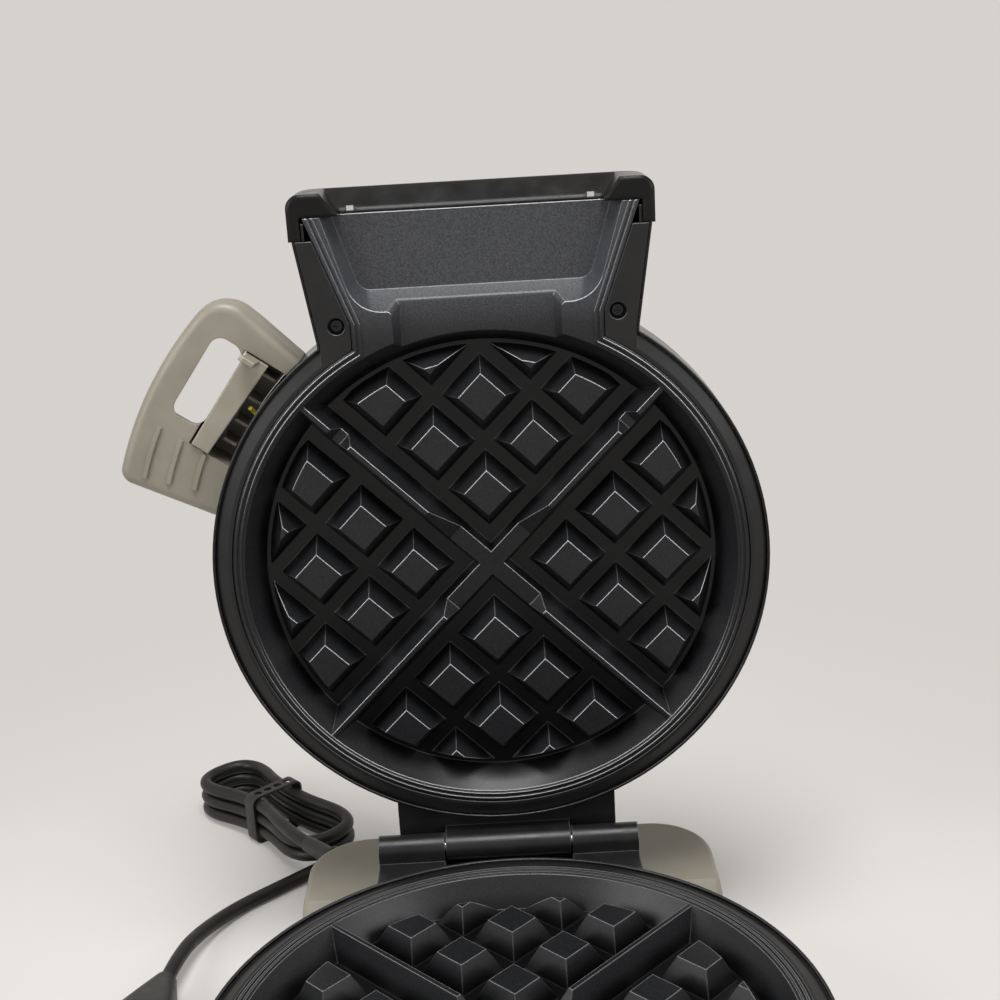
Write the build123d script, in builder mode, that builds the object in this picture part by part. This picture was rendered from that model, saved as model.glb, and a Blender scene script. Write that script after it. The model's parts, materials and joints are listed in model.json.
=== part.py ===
from build123d import *
from math import atan2, cos, degrees, pi, radians, sin, sqrt, tan
import os

# Vertical waffle maker, modelled open: the rear half stands on its base and the front half
# lies folded forward about the hinge below the grid plates. Lengths are in millimetres, +Z is
# up, the back of the machine looks along +Y, and the origin is where the middle foot stands.
# The parting plane of the closed halves is y = 0. Sizes of both halves are given for the
# standing rear half, as a depth behind the parting plane; the front half is its mirror image.

# Whole machine
hinge_z = 58.0              # hinge pin above the table
hinge_reach = 12.0          # hinge pin below the lower edge of the shell
half_depth = 35.0           # parting plane to the back of a shell
running_gap = 0.3           # air between curved faces that belong together

# Grid plate casting
grid_floor_radius = 95.0
cavity_wall_run = 7.8       # the sloping cavity wall, seen from the front
cavity_radius = grid_floor_radius + cavity_wall_run
cavity_depth = 12.7
land_depth = 0.8            # land of the casting behind the parting plane
land_width = 4.8
casting_radius = cavity_radius + land_width
floor_thickness = 4.0
flange_thickness = 4.0
bead_height = 0.6
bead_width = 1.1
bead_insets = (0.7, 2.8)    # outer edge of each sealing bead, in from the casting's edge

# Waffle studs, in a square lattice turned by 45 degrees
stud_pitch = 28.7
stud_first = 22.76          # first stud's centre from the ridge's centre line
stud_top_half = 6.85
stud_draft = 26.0
stud_top_depth = 3.0
stud_margin = 6.4           # outer studs are cut off this far inside the grid floor's edge
stud_field_radius = grid_floor_radius - stud_margin

# Ridges that score the waffle into quarters
ridge_top_depth = 1.0
ridge_top_half = 1.0
ridge_foot_half = 5.3
ridge_centre_depth = 8.0
ridge_reach = cavity_radius + 0.2
upper_ramp = (20.5, 36.0)   # where an upper ridge climbs from the low centre to its full height
lower_ramp = (24.5, 29.5)
notch_width = 10.6
notch_span = (stud_field_radius - notch_width, stud_field_radius)   # notch in each upper ridge
notch_depth = 6.4
notch_floor_half = 2.0

# Filling funnel, part of the casting
funnel_height = 40.4        # top edge above the disc of the casting
funnel_top = casting_radius + funnel_height
funnel_side_x = 50.3
funnel_side_drop = 2.1      # the flare starts this far below the top of the casting's disc
funnel_side_z = casting_radius - funnel_side_drop
funnel_flare = 0.36         # sideways growth of the funnel's sides for each millimetre up
pocket_depth = 11.0
pocket_floor_half_low = 46.2
pocket_rise = 9.9           # lower edge of the pocket's floor above the casting's disc
pocket_floor_low_z = casting_radius + pocket_rise
pocket_floor_corner = 6.0
pocket_rim_low = 8.2        # the pocket's rim lies this far below its floor's lower edge
pocket_rim_half_low = 47.6
pocket_rim_corner = 15.0
pocket_flare = 0.3
pocket_wall = 2.6
gate_depth = 5.5
gate_half_width = 30.7
gate_draft = 33.0
gate_length = 20.5          # from the grid floor's edge up into the pocket
gate_corner = 2.5           # rounding of the step into the pocket and of the shelves beside it
gate_top_z = grid_floor_radius + gate_length

# Bezel
bezel_gap = 0.3             # between casting and bezel
bezel_band = 6.9
bezel_radius = casting_radius + bezel_gap + bezel_band
bezel_face = 0.4
bezel_thickness = 6.6
bezel_slope = 5.3           # outer width of the bezel's face that falls away
bezel_rim_radius = bezel_radius - bezel_slope
bezel_fall = 1.8
bezel_ledge = 1.4           # width of the ledge that the casting's flange sits on
flank_foot_x = 63.0
flank_foot_z = funnel_side_z - 7.5
flank_top_x = 69.2
flank_top_z = funnel_top - 9
screw_x = 55.9
screw_z = funnel_side_z - 0.3
recess_radius = 3.4
recess_depth = 3.6

# Shell and cover
shell_rim = 1.2             # edge of the shell that shows round the bezel
shell_radius = bezel_radius + shell_rim
hinge_drop = shell_radius + hinge_reach
disc_z = hinge_z + hinge_drop   # middle of the standing disc
shell_lip = 1.1
shell_clear = 0.1
shell_wall = 2.6
shell_back_fillet = 14.0
tongue_half_width = flank_top_x - 2.7   # upper end of the shell, inside the collar
tongue_top = funnel_top - 2
tongue_depth = 26.0
tongue_wall = 1.2
boss_radius = 3.8
screw_radius = 1.5
screw_head_radius = 2.8
screw_head_height = 1.8
screw_length = 14.0
screw_clearance = 0.05
cover_margin = 21.0         # from the shell's outside to the edge of the cover
cover_radius = shell_radius - cover_margin
cover_thickness = 0.7

# Spout collar
collar_half_width = flank_top_x + 2.4
collar_rise = 9.2
collar_top = funnel_top + collar_rise
collar_back = 30.5
collar_corner = 12.0
collar_edge = 5.5
mouth_half_width = 59.0
mouth_back = 24.0
throat_half_width = 51.5
throat_back = 11.2
clip_x = 47.6
clip_size = (2.8, 1.0, 2.4)

# Heating parts behind a plate
reflector_radius = grid_floor_radius - 13
element_diameter = 7.0
element_half = reflector_radius - 20
element_lead_x = 12.0
element_lead_end = reflector_radius + 10
reflector_gap = 8.4         # plate back to reflector
sheet = 0.6
post_radius = 4.0
post_circle = 34.0
thermostat_radius = 8.0
thermostat_height = 7.6
fuse_radius = 2.2
fuse_length = 12.0

# Handle halves: a sector beside the disc, centred on handle_angle
handle_angle = 144.0
handle_reach = 42.5         # how far the handle stands out from the shell
handle_radius = shell_radius + handle_reach
handle_face = 8.0           # rear half's inner face, behind the parting plane
handle_back = 27.0
front_handle_face = -6.4    # front half's inner face reaches past the parting plane
front_handle_back = 19.0
# Each end of the handle's side lines: distance from the shell's edge, distance along the rim
handle_top_line = ((-16.0, -29.5), (54.0, -41.2))
handle_low_line = ((-16.0, 43.7), (54.0, 56.5))
handle_top_corner = 14.0
handle_low_corner = 6.0
handle_edge = 4.0           # rounding of the outer edges
handle_thin_from = shell_radius + 20    # from here out the back of the handle slopes forward
handle_thinning = 7.0
seat_gap = 0.05             # between the shell and what is screwed to it
slot_distance = 16.4        # finger slot, from the shell's edge
slot_width = 13.6
slot_inner = shell_radius + slot_distance
slot_outer = slot_inner + slot_width
slot_top = -22.5
front_slot_top = -16.0
slot_bottom = 15.5
slot_corner = 5.0
slot_flare = 5.0            # the slot opens toward the back by this much, outward and downward
pocket_reach = 16.8         # pocket for the latch, from the shell's edge
pocket_outer = shell_radius + pocket_reach
pocket_half = 23.0
pocket_floor = 3.0
pocket_ribs = (-17.0, -5.5, 5.5, 15.0)      # stiffening ribs between the pocket and the shell
pocket_rib_width = 1.4
pocket_rib_reach = shell_radius + 6
pocket_rib_depth = 13.0
rib_radii = (shell_radius + 32, shell_radius + 22, shell_radius + 11.2)
rib_start = 23.5
rib_end_angle = 18.0
rib_width = 1.8
rib_height = 1.0

# Latch
latch_pin_radius = 1.5
lever_room = 1.0            # air between the lever and the outer wall of its pocket
bar_outer = pocket_outer - lever_room
bar_width = 7.8
bar_flare = 2.4             # the bar is wider by this much at its upper end
bar_inner = bar_outer - bar_width
latch_pin_distance = bar_outer - 4.3
latch_pin_depth = 20.5
latch_pin_half = pocket_half + 2
latch_pin_clearance = 0.05
bar_half = pocket_half - 0.7
bar_face = 6.5
bar_thickness = 3.5
lever_web = 1.0
lever_foot = latch_pin_depth + 2.3
barrel_radius = 2.9
barrel_inner_end = 8.0
spring_wire = 0.8
spring_radius = 2.5
spring_turns = 7
spring_pitch = 1.25
spring_leg = 5.0
hook_width = 2.2
hook_inner = bar_inner + 1.6
hook_tip = -1.2             # foremost point of the hook, in front of the parting plane
hook_barb = 1.5
barb_back = 2.4
striker_face = 3.2
front_pocket_depth = 6.0
hook_recess = (bar_inner - 3.9, bar_outer + 2.7)    # reach of the recess that the hook enters
hook_recess_depth = 9.0
hook_room = 1.0             # air beside the hook in its recess
striker_thickness = 1.2
striker_inner = bar_outer + 0.4
striker_outer = striker_inner + 4.8
handle_screws = ((-13.0, 16.0), (16.5, 16.0))   # angle from the handle's middle, and depth
front_handle_screws = ((-13.0, 11.0), (16.5, 11.0))
radial_screw_length = 12.0

# Neck and hinge
neck_half_width = 48.0
neck_front = 7.0
neck_depth = 24.0
neck_wall = 3.0
neck_corner = 6.0
neck_hollow_top = 66.0
neck_screws = ((-106.0, 19.0), (-74.0, 19.0))   # angle round the disc, and depth
wire_slot = (30.0, 8.0)
knuckle_radius = 6.0
knuckle_half = 27.4
ear_inner = knuckle_half + 0.6
ear_outer = ear_inner + 29
ear_front = 4.0
ear_back = 22.0
ear_screws = ((-111.0, 13.0), (-69.0, 13.0))
hinge_pin_radius = 2.5
hinge_pin_half = ear_outer - 0.5
hinge_clearance = 0.05
bush_radius = 3.6
bush_length = 12.0

# Base
base_half_width = 94.0
base_front = -78.0
base_back = 58.0
base_top = 32.0
base_foot = 3.0             # underside of the base above the table
base_wall = 2.4
base_nose = 4.0             # front edge rounded by a slope of this size
base_edge = 3.0
apron_top = 14.0
apron_back = -34.0
shoulder_y = 4.0
base_corner = 28.0
base_cover_thickness = 2.0
cover_gap = 0.3
boss_inset = (24.0, 28.0, 12.0)         # from the base's sides, front and back
base_boss_x = base_half_width - boss_inset[0]
base_boss_y = (base_front + boss_inset[1], base_back - boss_inset[2])
foot_radius = 8.0
foot_inset = (34.0, 20.0)               # from the base's sides, and from its front and back
foot_x = base_half_width - foot_inset[0]
foot_y = (base_front + foot_inset[1], base_back - foot_inset[1])

# Control and lights on the apron
knob_radius = 14.0
knob_height = 5.1
knob_y = -54.0
knob_shaft_radius = 3.0
pointer_width = 1.6
pointer_depth = 0.9
lens_radius = 2.5
lens_x = 30.0
lens_proud = 0.5
board_size = (76.0, 22.0, 1.6)
control_radius = 9.0
control_height = 4.2
terminal_size = (40.0, 16.0, 12.0)
wire_radius = 1.4
pin_length = 10.0
pin_radius = 1.6

# Supply cord: it leaves the base at the back left corner and is tied up in a hank beside it
cord_diameter = 6.6
cord_angle = 131.7          # heading of the strain relief and of the hank's long side
relief_reach = 22.0
relief_root_radius = 4.5
relief_tip_radius = 3.8
relief_flange_radius = 6.0
relief_flange = 1.5
layer_step = 7.2
hank_layers = 3
hank_near = 8.0             # near end of the loops, beyond the strain relief's tip
hank_far = 112.0
hank_width = 41.0
waist_x = 60.0
waist_inset = 12.5
waist_lift = 1.6
loop_radius = 15.8
waist_radius = 80.0
entry_run = 16.0
entry_radius = 60.0
hank_tail = 14.0
tie_width = 8.0
tie_thickness = 1.2
tie_gap = 0.3
tail_route = [
    (8.0, 14.0, 3.4), (8.0, 39.0, 3.4), (-0.9, 63.4, 6.4), (-15.8, 83.5, 11.1), (-29.3, 98.2, 11.1),
]
plug_sections = ((0.0, 9.6, 9.6, 4.7), (11.0, 16.0, 14.0, 5.0), (30.0, 26.0, 22.0, 6.0))
blade_size = (1.5, 6.35, 17.0)
blade_x = 6.35
blade_up = 4.5
earth_pin_radius = 2.4
earth_pin_length = 19.0
earth_pin_down = 7.4

hinge_axis = Axis((0, 0, hinge_z), (1, 0, 0))
plate_back = cavity_depth + floor_thickness
bezel_back = bezel_face + bezel_thickness
reflector_depth = plate_back + reflector_gap
element_depth = plate_back + element_diameter / 2 + seat_gap
screw_seat = shell_radius - shell_wall - seat_gap


def facing(depth, height=0.0):
    """Plane parallel to the parting plane, depth behind it, with x right and y up."""
    return Plane(origin=(0, depth, disc_z + height), x_dir=(1, 0, 0), z_dir=(0, -1, 0))


def grip_plane(depth):
    """Plane parallel to the parting plane, with x out along the handle and y along the rim."""
    outward = (cos(radians(handle_angle)), 0, sin(radians(handle_angle)))
    return Plane(origin=(0, depth, disc_z), x_dir=outward, z_dir=(0, -1, 0))


def grip_section(along=0.0):
    """Plane square to the rim at the handle, with x outward and y as depth."""
    outward = Vector(cos(radians(handle_angle)), 0, sin(radians(handle_angle)))
    rimward = Vector(-sin(radians(handle_angle)), 0, cos(radians(handle_angle)))
    return Plane(origin=Vector(0, 0, disc_z) + rimward * along, x_dir=outward, z_dir=rimward)


def radial_bars(places, radius, start, end):
    """Round bars along the disc's radii, each place an angle and a depth."""
    with BuildPart() as bars:
        for angle, depth in places:
            outward = Vector(cos(radians(angle)), 0, sin(radians(angle)))
            foot = Plane(
                origin=Vector(0, depth, disc_z) + outward * start, x_dir=(0, 1, 0), z_dir=outward,
            )
            with BuildSketch(foot):
                Circle(radius)
            extrude(amount=end - start)
    return bars.part


def radial_screws(places):
    """Pan head screws that hold a piece against the shell from inside, with crossed recesses."""
    top = screw_seat - screw_head_height
    with BuildPart() as screws:
        add(radial_bars(places, screw_head_radius, top, screw_seat))
        add(radial_bars(places, screw_radius, screw_seat, screw_seat + radial_screw_length))
        add(radial_bars(places, 1.1, top, top + 1), mode=Mode.SUBTRACT)
    return screws


def screw_holes(places):
    """Clearance holes for those screws."""
    end = screw_seat + radial_screw_length + running_gap
    return radial_bars(places, screw_radius + screw_clearance, screw_seat - boss_radius, end)


def folded(shape):
    """The front half's copy of a rear piece: mirrored, then folded a quarter turn forward."""
    return shape.mirror(Plane.XZ).rotate(hinge_axis, 90)


def finish(piece, name):
    """Names a finished piece and writes it."""
    piece.part.label = name
    export_step(piece.part, f"parts/{name}.step")


def finish_folded(piece, name):
    """Folds a piece of the front half forward, names it and writes it."""
    shape = folded(piece.part)
    shape.label = name
    export_step(shape, f"parts/{name}.step")


def funnel_outline(growth, mode=Mode.ADD):
    """Outline of the casting seen from the front, grown by growth all round: disc and funnel."""
    side = growth * sqrt(1 + funnel_flare ** 2)
    top_x = funnel_side_x + side + (funnel_top - funnel_side_z) * funnel_flare
    half = [
        (funnel_side_x + growth, 0), (funnel_side_x + growth, funnel_side_z), (top_x, funnel_top),
    ]
    Circle(casting_radius + growth, mode=mode)
    Polygon(*half, *[(-x, z) for x, z in reversed(half)], align=None, mode=mode)


def flank_outline(growth):
    """Corners of the block between the outer edges of the two flanks, grown by growth."""
    half = [
        (flank_foot_x + growth, 0), (flank_foot_x + growth, flank_foot_z),
        (flank_top_x + growth, flank_top_z),
    ]
    return half + [(-x, z) for x, z in reversed(half)]


def housing_outline(radius, growth):
    """Outline of the bezel or shell: a disc with the two flanks beside the funnel."""
    Circle(radius)
    Polygon(*flank_outline(growth), align=None)


def pocket_outline(low, half_low, corner, growth=0.0):
    """Outline of the funnel's pocket at one depth, open at the top and grown by growth."""
    high = funnel_top + 12
    half_high = half_low + (high - low) * pocket_flare
    Polygon(
        (-half_low, low), (-half_high, high), (half_high, high), (half_low, low), align=None,
    )
    fillet(vertices().group_by(Axis.Y)[0], corner)
    if growth:
        offset(amount=growth)


os.makedirs("parts", exist_ok=True)

# Studs of one plate: tapered blocks in four groups of eight, trimmed by a cone near the wall.
# The lattice numbers count from the ridges outward in each quarter of the disc.
lattice = [(0, 0), (1, 0), (0, 1), (1, 1), (2, 0), (0, 2), (2, 1), (1, 2)]
stud_height = cavity_depth - stud_top_depth
stud_foot_half = stud_top_half + stud_height * tan(radians(stud_draft))
stud_centres = []
for side_u in (-1, 1):
    for side_v in (-1, 1):
        for step_u, step_v in lattice:
            along_u = side_u * (stud_first + step_u * stud_pitch)
            along_v = side_v * (stud_first + step_v * stud_pitch)
            stud_centres.append(((along_u - along_v) / sqrt(2), (along_u + along_v) / sqrt(2)))

with BuildPart() as studs:
    with BuildSketch(facing(cavity_depth)):
        with Locations(*stud_centres):
            Rectangle(2 * stud_foot_half, 2 * stud_foot_half, rotation=45)
    extrude(amount=stud_height, taper=stud_draft)
    with BuildSketch(facing(cavity_depth)):
        Circle(stud_field_radius + stud_height * tan(radians(stud_draft)))
    extrude(amount=stud_height, taper=stud_draft, mode=Mode.INTERSECT)


def ridge_arm(angle, ramp, notched):
    """One ridge: a sharp-crested bar along angle, cut to its side profile."""
    crest = Plane(
        origin=(0, 0, disc_z), x_dir=(cos(radians(angle)), 0, sin(radians(angle))),
        z_dir=(sin(radians(angle)), 0, -cos(radians(angle))),
    )
    end_on = Plane(origin=(0, 0, disc_z), x_dir=crest.z_dir, z_dir=crest.x_dir)
    front = end_on.to_local_coords(Vector(0, 0, disc_z) + Vector(0, 1, 0)).Y
    deep = cavity_depth + floor_thickness / 2
    with BuildPart() as arm:
        with BuildSketch(end_on):
            with BuildLine():
                Polyline(
                    (-ridge_top_half, front * ridge_top_depth), (ridge_top_half, front * ridge_top_depth),
                    (ridge_foot_half, front * cavity_depth), (ridge_foot_half, front * deep),
                    (-ridge_foot_half, front * deep), (-ridge_foot_half, front * cavity_depth),
                    close=True,
                )
            make_face()
        extrude(amount=ridge_reach)
        lift = crest.to_local_coords(Vector(0, 1, disc_z)).Y
        profile = [(0, deep), (ridge_reach, deep), (ridge_reach, ridge_top_depth)]
        if notched:
            middle = (notch_span[0] + notch_span[1]) / 2
            profile += [
                (notch_span[1], ridge_top_depth), (middle + notch_floor_half, notch_depth),
                (middle - notch_floor_half, notch_depth), (notch_span[0], ridge_top_depth),
            ]
        profile += [(ramp[1], ridge_top_depth), (ramp[0], ridge_centre_depth), (0, ridge_centre_depth)]
        with BuildSketch(crest):
            with BuildLine():
                Polyline([(along, lift * depth) for along, depth in profile], close=True)
            make_face()
        extrude(amount=ridge_foot_half + 1, both=True, mode=Mode.INTERSECT)
    return arm.part


# Back of the funnel's pocket, held inside the bezel's ledge.
pocket_rim_z = pocket_floor_low_z - pocket_rim_low
with BuildPart() as pocket_block:
    with BuildSketch(facing(land_depth)):
        pocket_outline(pocket_rim_z, pocket_rim_half_low, pocket_rim_corner, pocket_wall)
    with BuildSketch(facing(pocket_depth + pocket_wall)):
        pocket_outline(pocket_floor_low_z, pocket_floor_half_low, pocket_floor_corner, pocket_wall)
    loft(ruled=True)
    with BuildSketch(facing(land_depth)):
        funnel_outline(-bezel_ledge - bezel_gap)
    extrude(amount=-plate_back, mode=Mode.INTERSECT)

# Rear grid plate: a nonstick aluminium casting with the cavity, the studs and ridges, the
# funnel's half with its gate into the cavity, two sealing beads and three posts on its back.
with BuildPart() as rear_plate:
    with BuildSketch(facing(land_depth)):
        funnel_outline(0)
    extrude(amount=-flange_thickness)
    with BuildSketch(facing(land_depth)):
        Circle(casting_radius - 3)
    extrude(amount=-(plate_back - land_depth), taper=26)
    add(pocket_block.part)
    with BuildSketch(facing(land_depth)):
        with Locations((0, gate_top_z)):
            Rectangle(2 * gate_half_width + 10, 44)
    extrude(amount=-(gate_depth + pocket_wall - land_depth))
    with BuildSketch(facing(cavity_depth)):
        Circle(grid_floor_radius)
    extrude(
        amount=cavity_depth, mode=Mode.SUBTRACT,
        taper=-degrees(atan2(cavity_radius - grid_floor_radius, cavity_depth - land_depth)),
    )
    with BuildSketch(facing(pocket_depth)):
        pocket_outline(pocket_floor_low_z, pocket_floor_half_low, pocket_floor_corner)
    with BuildSketch(facing(0)):
        pocket_outline(pocket_rim_z, pocket_rim_half_low, pocket_rim_corner)
    loft(ruled=True, mode=Mode.SUBTRACT)
    with BuildSketch(facing(gate_depth)):
        with Locations((0, (gate_top_z + grid_floor_radius) / 2)):
            Rectangle(2 * gate_half_width, gate_top_z - grid_floor_radius + 20)
    extrude(amount=gate_depth, taper=-gate_draft, mode=Mode.SUBTRACT)
    step = edges().filter_by(
        lambda edge: abs(edge.center().X) < 0.1 and abs(edge.center().Y - gate_depth) < 0.1
        and edge.center().Z > disc_z + cavity_radius
    )
    shelf_corners = edges().filter_by(
        lambda edge: land_depth + 1 < edge.center().Y < gate_depth - 1
        and gate_half_width < abs(edge.center().X) < gate_half_width + gate_corner
        and disc_z + pocket_rim_z < edge.center().Z < disc_z + pocket_floor_low_z
    )
    fillet(step + shelf_corners, gate_corner)
    add(studs.part)
    for arm_angle in (45, 135):
        add(ridge_arm(arm_angle, upper_ramp, True))
        add(ridge_arm(arm_angle + 180, lower_ramp, False))
    for inset in bead_insets:
        with BuildSketch(facing(land_depth)):
            funnel_outline(-inset)
            funnel_outline(-inset - bead_width, mode=Mode.SUBTRACT)
        extrude(amount=bead_height)
    with BuildSketch(facing(plate_back)):
        with PolarLocations(post_circle, 3, start_angle=90):
            Circle(post_radius)
    extrude(amount=-reflector_gap)
    with BuildSketch(facing(plate_back + reflector_gap)):
        with PolarLocations(post_circle, 3, start_angle=90):
            Circle(screw_radius + screw_clearance)
    extrude(amount=reflector_gap - 1, mode=Mode.SUBTRACT)
    split(bisect_by=Plane.XY.offset(disc_z + funnel_top), keep=Keep.BOTTOM)
finish(rear_plate, "rear_plate")

# What is cut away in front of the bezel's sloping outer band, beside the flat flanks.
with BuildPart() as bezel_bevel:
    with BuildSketch(facing(bezel_face)):
        Circle(bezel_radius + 1)
    extrude(amount=-bezel_fall)
    with BuildSketch(facing(bezel_face)):
        Circle(bezel_rim_radius)
    extrude(
        amount=-bezel_fall, mode=Mode.SUBTRACT,
        taper=-degrees(atan2(bezel_radius - bezel_rim_radius, bezel_fall)),
    )
    with BuildSketch(facing(bezel_face)):
        Polygon(*flank_outline(0), align=None)
    extrude(amount=-bezel_fall, mode=Mode.SUBTRACT)

# Rear bezel: black moulding round the casting, with a sloping outer band, a ledge behind the
# casting's flange and the two flanks beside the funnel, each with a screw recess.
with BuildPart() as rear_bezel:
    with BuildSketch(facing(bezel_face)):
        housing_outline(bezel_radius, 0)
        funnel_outline(bezel_gap, mode=Mode.SUBTRACT)
    extrude(amount=-bezel_thickness)
    with BuildSketch(facing(land_depth + flange_thickness)):
        housing_outline(bezel_radius, 0)
        funnel_outline(-bezel_ledge, mode=Mode.SUBTRACT)
    extrude(amount=-(bezel_face + bezel_thickness - land_depth - flange_thickness))
    add(bezel_bevel.part, mode=Mode.SUBTRACT)
    with BuildSketch(facing(bezel_face)):
        with Locations((-screw_x, screw_z), (screw_x, screw_z)):
            Circle(recess_radius)
    extrude(amount=-recess_depth, mode=Mode.SUBTRACT)
    with BuildSketch(facing(bezel_face)):
        with Locations((-screw_x, screw_z), (screw_x, screw_z)):
            Circle(screw_radius + screw_clearance)
    extrude(amount=-2 * bezel_thickness, mode=Mode.SUBTRACT)
finish(rear_bezel, "rear_bezel")

# Bezel screws: pan heads at the bottom of the recesses, driven into the shell's bosses.
seat = bezel_face + recess_depth
with BuildPart() as rear_bezel_screws:
    with BuildSketch(facing(seat)):
        with Locations((-screw_x, screw_z), (screw_x, screw_z)):
            Circle(screw_head_radius)
    extrude(amount=screw_head_height)
    fillet(edges().group_by(Axis.Y)[0], 0.8)
    with BuildSketch(facing(seat)):
        with Locations((-screw_x, screw_z), (screw_x, screw_z)):
            Circle(screw_radius)
    extrude(amount=-screw_length)
    with BuildSketch(facing(seat - screw_head_height)):
        with Locations((-screw_x, screw_z), (screw_x, screw_z)):
            Rectangle(2.6, 0.7)
            Rectangle(0.7, 2.6)
    extrude(amount=-1, mode=Mode.SUBTRACT)
finish(rear_bezel_screws, "rear_bezel_screws")

# Shells: glossy black mouldings, rounded dishes that follow the disc and the flanks. The bezel
# sits inside the lip, the tongue at the top carries the collar, and two bosses take the screws.
with BuildPart() as shell_form:
    with BuildSketch(facing(land_depth)):
        housing_outline(shell_radius, shell_lip + shell_clear)
    extrude(amount=-(half_depth - land_depth))
    fillet(edges().group_by(Axis.Y)[-1], shell_back_fillet)
with BuildPart() as shell_hollow:
    with BuildSketch(facing(bezel_back)):
        housing_outline(shell_radius - shell_wall, shell_lip - shell_wall)
    extrude(amount=-(half_depth - shell_wall - bezel_back))
    fillet(edges().group_by(Axis.Y)[-1], shell_back_fillet - shell_wall)
    with BuildSketch(facing(0)):
        housing_outline(bezel_radius + shell_clear, shell_clear)
    extrude(amount=-bezel_back)
    with BuildSketch(Plane.XY.offset(disc_z + flank_top_z - 30)):
        with Locations((0, (tongue_depth - tongue_wall) / 2)):
            Rectangle(2 * (tongue_half_width - tongue_wall), tongue_depth - tongue_wall)
    extrude(amount=tongue_top - flank_top_z + 31)
    with BuildSketch(facing(bezel_back)):
        with Locations((-screw_x, screw_z), (screw_x, screw_z)):
            Circle(boss_radius)
    extrude(amount=-half_depth, mode=Mode.SUBTRACT)
    with BuildSketch(facing(bezel_back)):
        with Locations((-screw_x, screw_z), (screw_x, screw_z)):
            Circle(screw_radius + screw_clearance)
    extrude(amount=-(seat + screw_length + running_gap - bezel_back))
with BuildPart() as shell_body:
    add(shell_form.part)
    with BuildSketch(Plane.XY.offset(disc_z + flank_top_z - 20)):
        with Locations((0, (tongue_depth + land_depth) / 2)):
            Rectangle(2 * tongue_half_width, tongue_depth - land_depth)
    extrude(amount=tongue_top - flank_top_z + 20)
    add(shell_hollow.part, mode=Mode.SUBTRACT)

# Rear shell: with holes for the handle's and the neck's screws and a slot for the wires.
rear_handle_places = [(handle_angle + angle, depth) for angle, depth in handle_screws]
with BuildPart() as rear_shell:
    add(shell_body.part)
    add(screw_holes(rear_handle_places + list(neck_screws)), mode=Mode.SUBTRACT)
    with BuildSketch(Plane.XY.offset(disc_z - shell_radius - 1)):
        with Locations((0, element_depth)):
            Rectangle(*wire_slot)
    extrude(amount=3 * shell_wall, mode=Mode.SUBTRACT)
finish(rear_shell, "rear_shell")

# Rear cover: thin brushed steel disc on the flat back of the shell.
with BuildPart() as rear_cover:
    with BuildSketch(facing(half_depth)):
        Circle(cover_radius)
    extrude(amount=-cover_thickness)
    fillet(edges().group_by(Axis.Y)[-1], cover_thickness * 0.7)
finish(rear_cover, "rear_cover")

# Rear spout collar: glossy cap over the funnel's end. Its throat widens upward, and two legs
# hang down outside the shell's tongue.
clip_depth = throat_back + (mouth_back - throat_back) * 0.12
with BuildPart() as rear_collar_clips:
    with BuildSketch(Plane.XY.offset(disc_z + funnel_top + 2 * running_gap)):
        with Locations((-clip_x, clip_depth), (clip_x, clip_depth)):
            Rectangle(clip_size[0], clip_size[1])
    extrude(amount=clip_size[2])
finish(rear_collar_clips, "rear_collar_clips")
with BuildPart() as rear_collar:
    with BuildSketch(Plane.XY.offset(disc_z + flank_top_z + 0.2)):
        with Locations((0, (collar_back + bezel_face) / 2)):
            Rectangle(2 * collar_half_width, collar_back - bezel_face)
        fillet(vertices().group_by(Axis.Y)[-1], collar_corner)
    extrude(amount=collar_top - flank_top_z - 0.2)
    fillet(edges().group_by(Axis.Z)[-1].sort_by(Axis.Y)[1:], collar_edge)
    with BuildSketch(Plane.XY.offset(disc_z + funnel_top + running_gap)):
        with Locations((0, throat_back / 2)):
            Rectangle(2 * throat_half_width, throat_back)
    with BuildSketch(Plane.XY.offset(disc_z + collar_top + 1)):
        with Locations((0, mouth_back / 2)):
            Rectangle(2 * mouth_half_width, mouth_back)
    loft(mode=Mode.SUBTRACT)
    with BuildSketch(Plane.XY.offset(disc_z + flank_top_z)):
        with Locations((0, (tongue_depth + running_gap) / 2)):
            Rectangle(2 * (tongue_half_width + running_gap), tongue_depth + running_gap)
    extrude(amount=tongue_top - flank_top_z + running_gap, mode=Mode.SUBTRACT)
    with BuildSketch(Plane.XY.offset(disc_z + flank_top_z)):
        with Locations((0, (pocket_depth + pocket_wall + running_gap) / 2)):
            Rectangle(2 * (tongue_half_width + running_gap), pocket_depth + pocket_wall + running_gap)
    extrude(amount=funnel_top - flank_top_z + running_gap, mode=Mode.SUBTRACT)
    add(rear_collar_clips.part, mode=Mode.SUBTRACT)
finish(rear_collar, "rear_collar")

# Rear heating element: a steel tube in a rounded square horseshoe on the plate's back, with a
# thin terminal pin on each end.
element_points = [
    (element_lead_x, -element_lead_end), (element_lead_x, -element_half),
    (element_half, -element_half), (element_half, element_half), (-element_half, element_half),
    (-element_half, -element_half), (-element_lead_x, -element_half),
    (-element_lead_x, -element_lead_end),
]
with BuildPart() as rear_element:
    with BuildLine(facing(element_depth)) as element_line:
        FilletPolyline(*element_points, radius=[8, 40, 55, 55, 40, 8])
    with BuildSketch(Plane(origin=element_line.line @ 0, z_dir=element_line.line % 0)):
        Circle(element_diameter / 2)
    sweep(path=element_line.line)
    with BuildSketch(Plane.XY.offset(disc_z - element_lead_end)):
        with Locations((-element_lead_x, element_depth), (element_lead_x, element_depth)):
            Circle(pin_radius)
    extrude(amount=-pin_length)
finish(rear_element, "rear_element")

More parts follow.
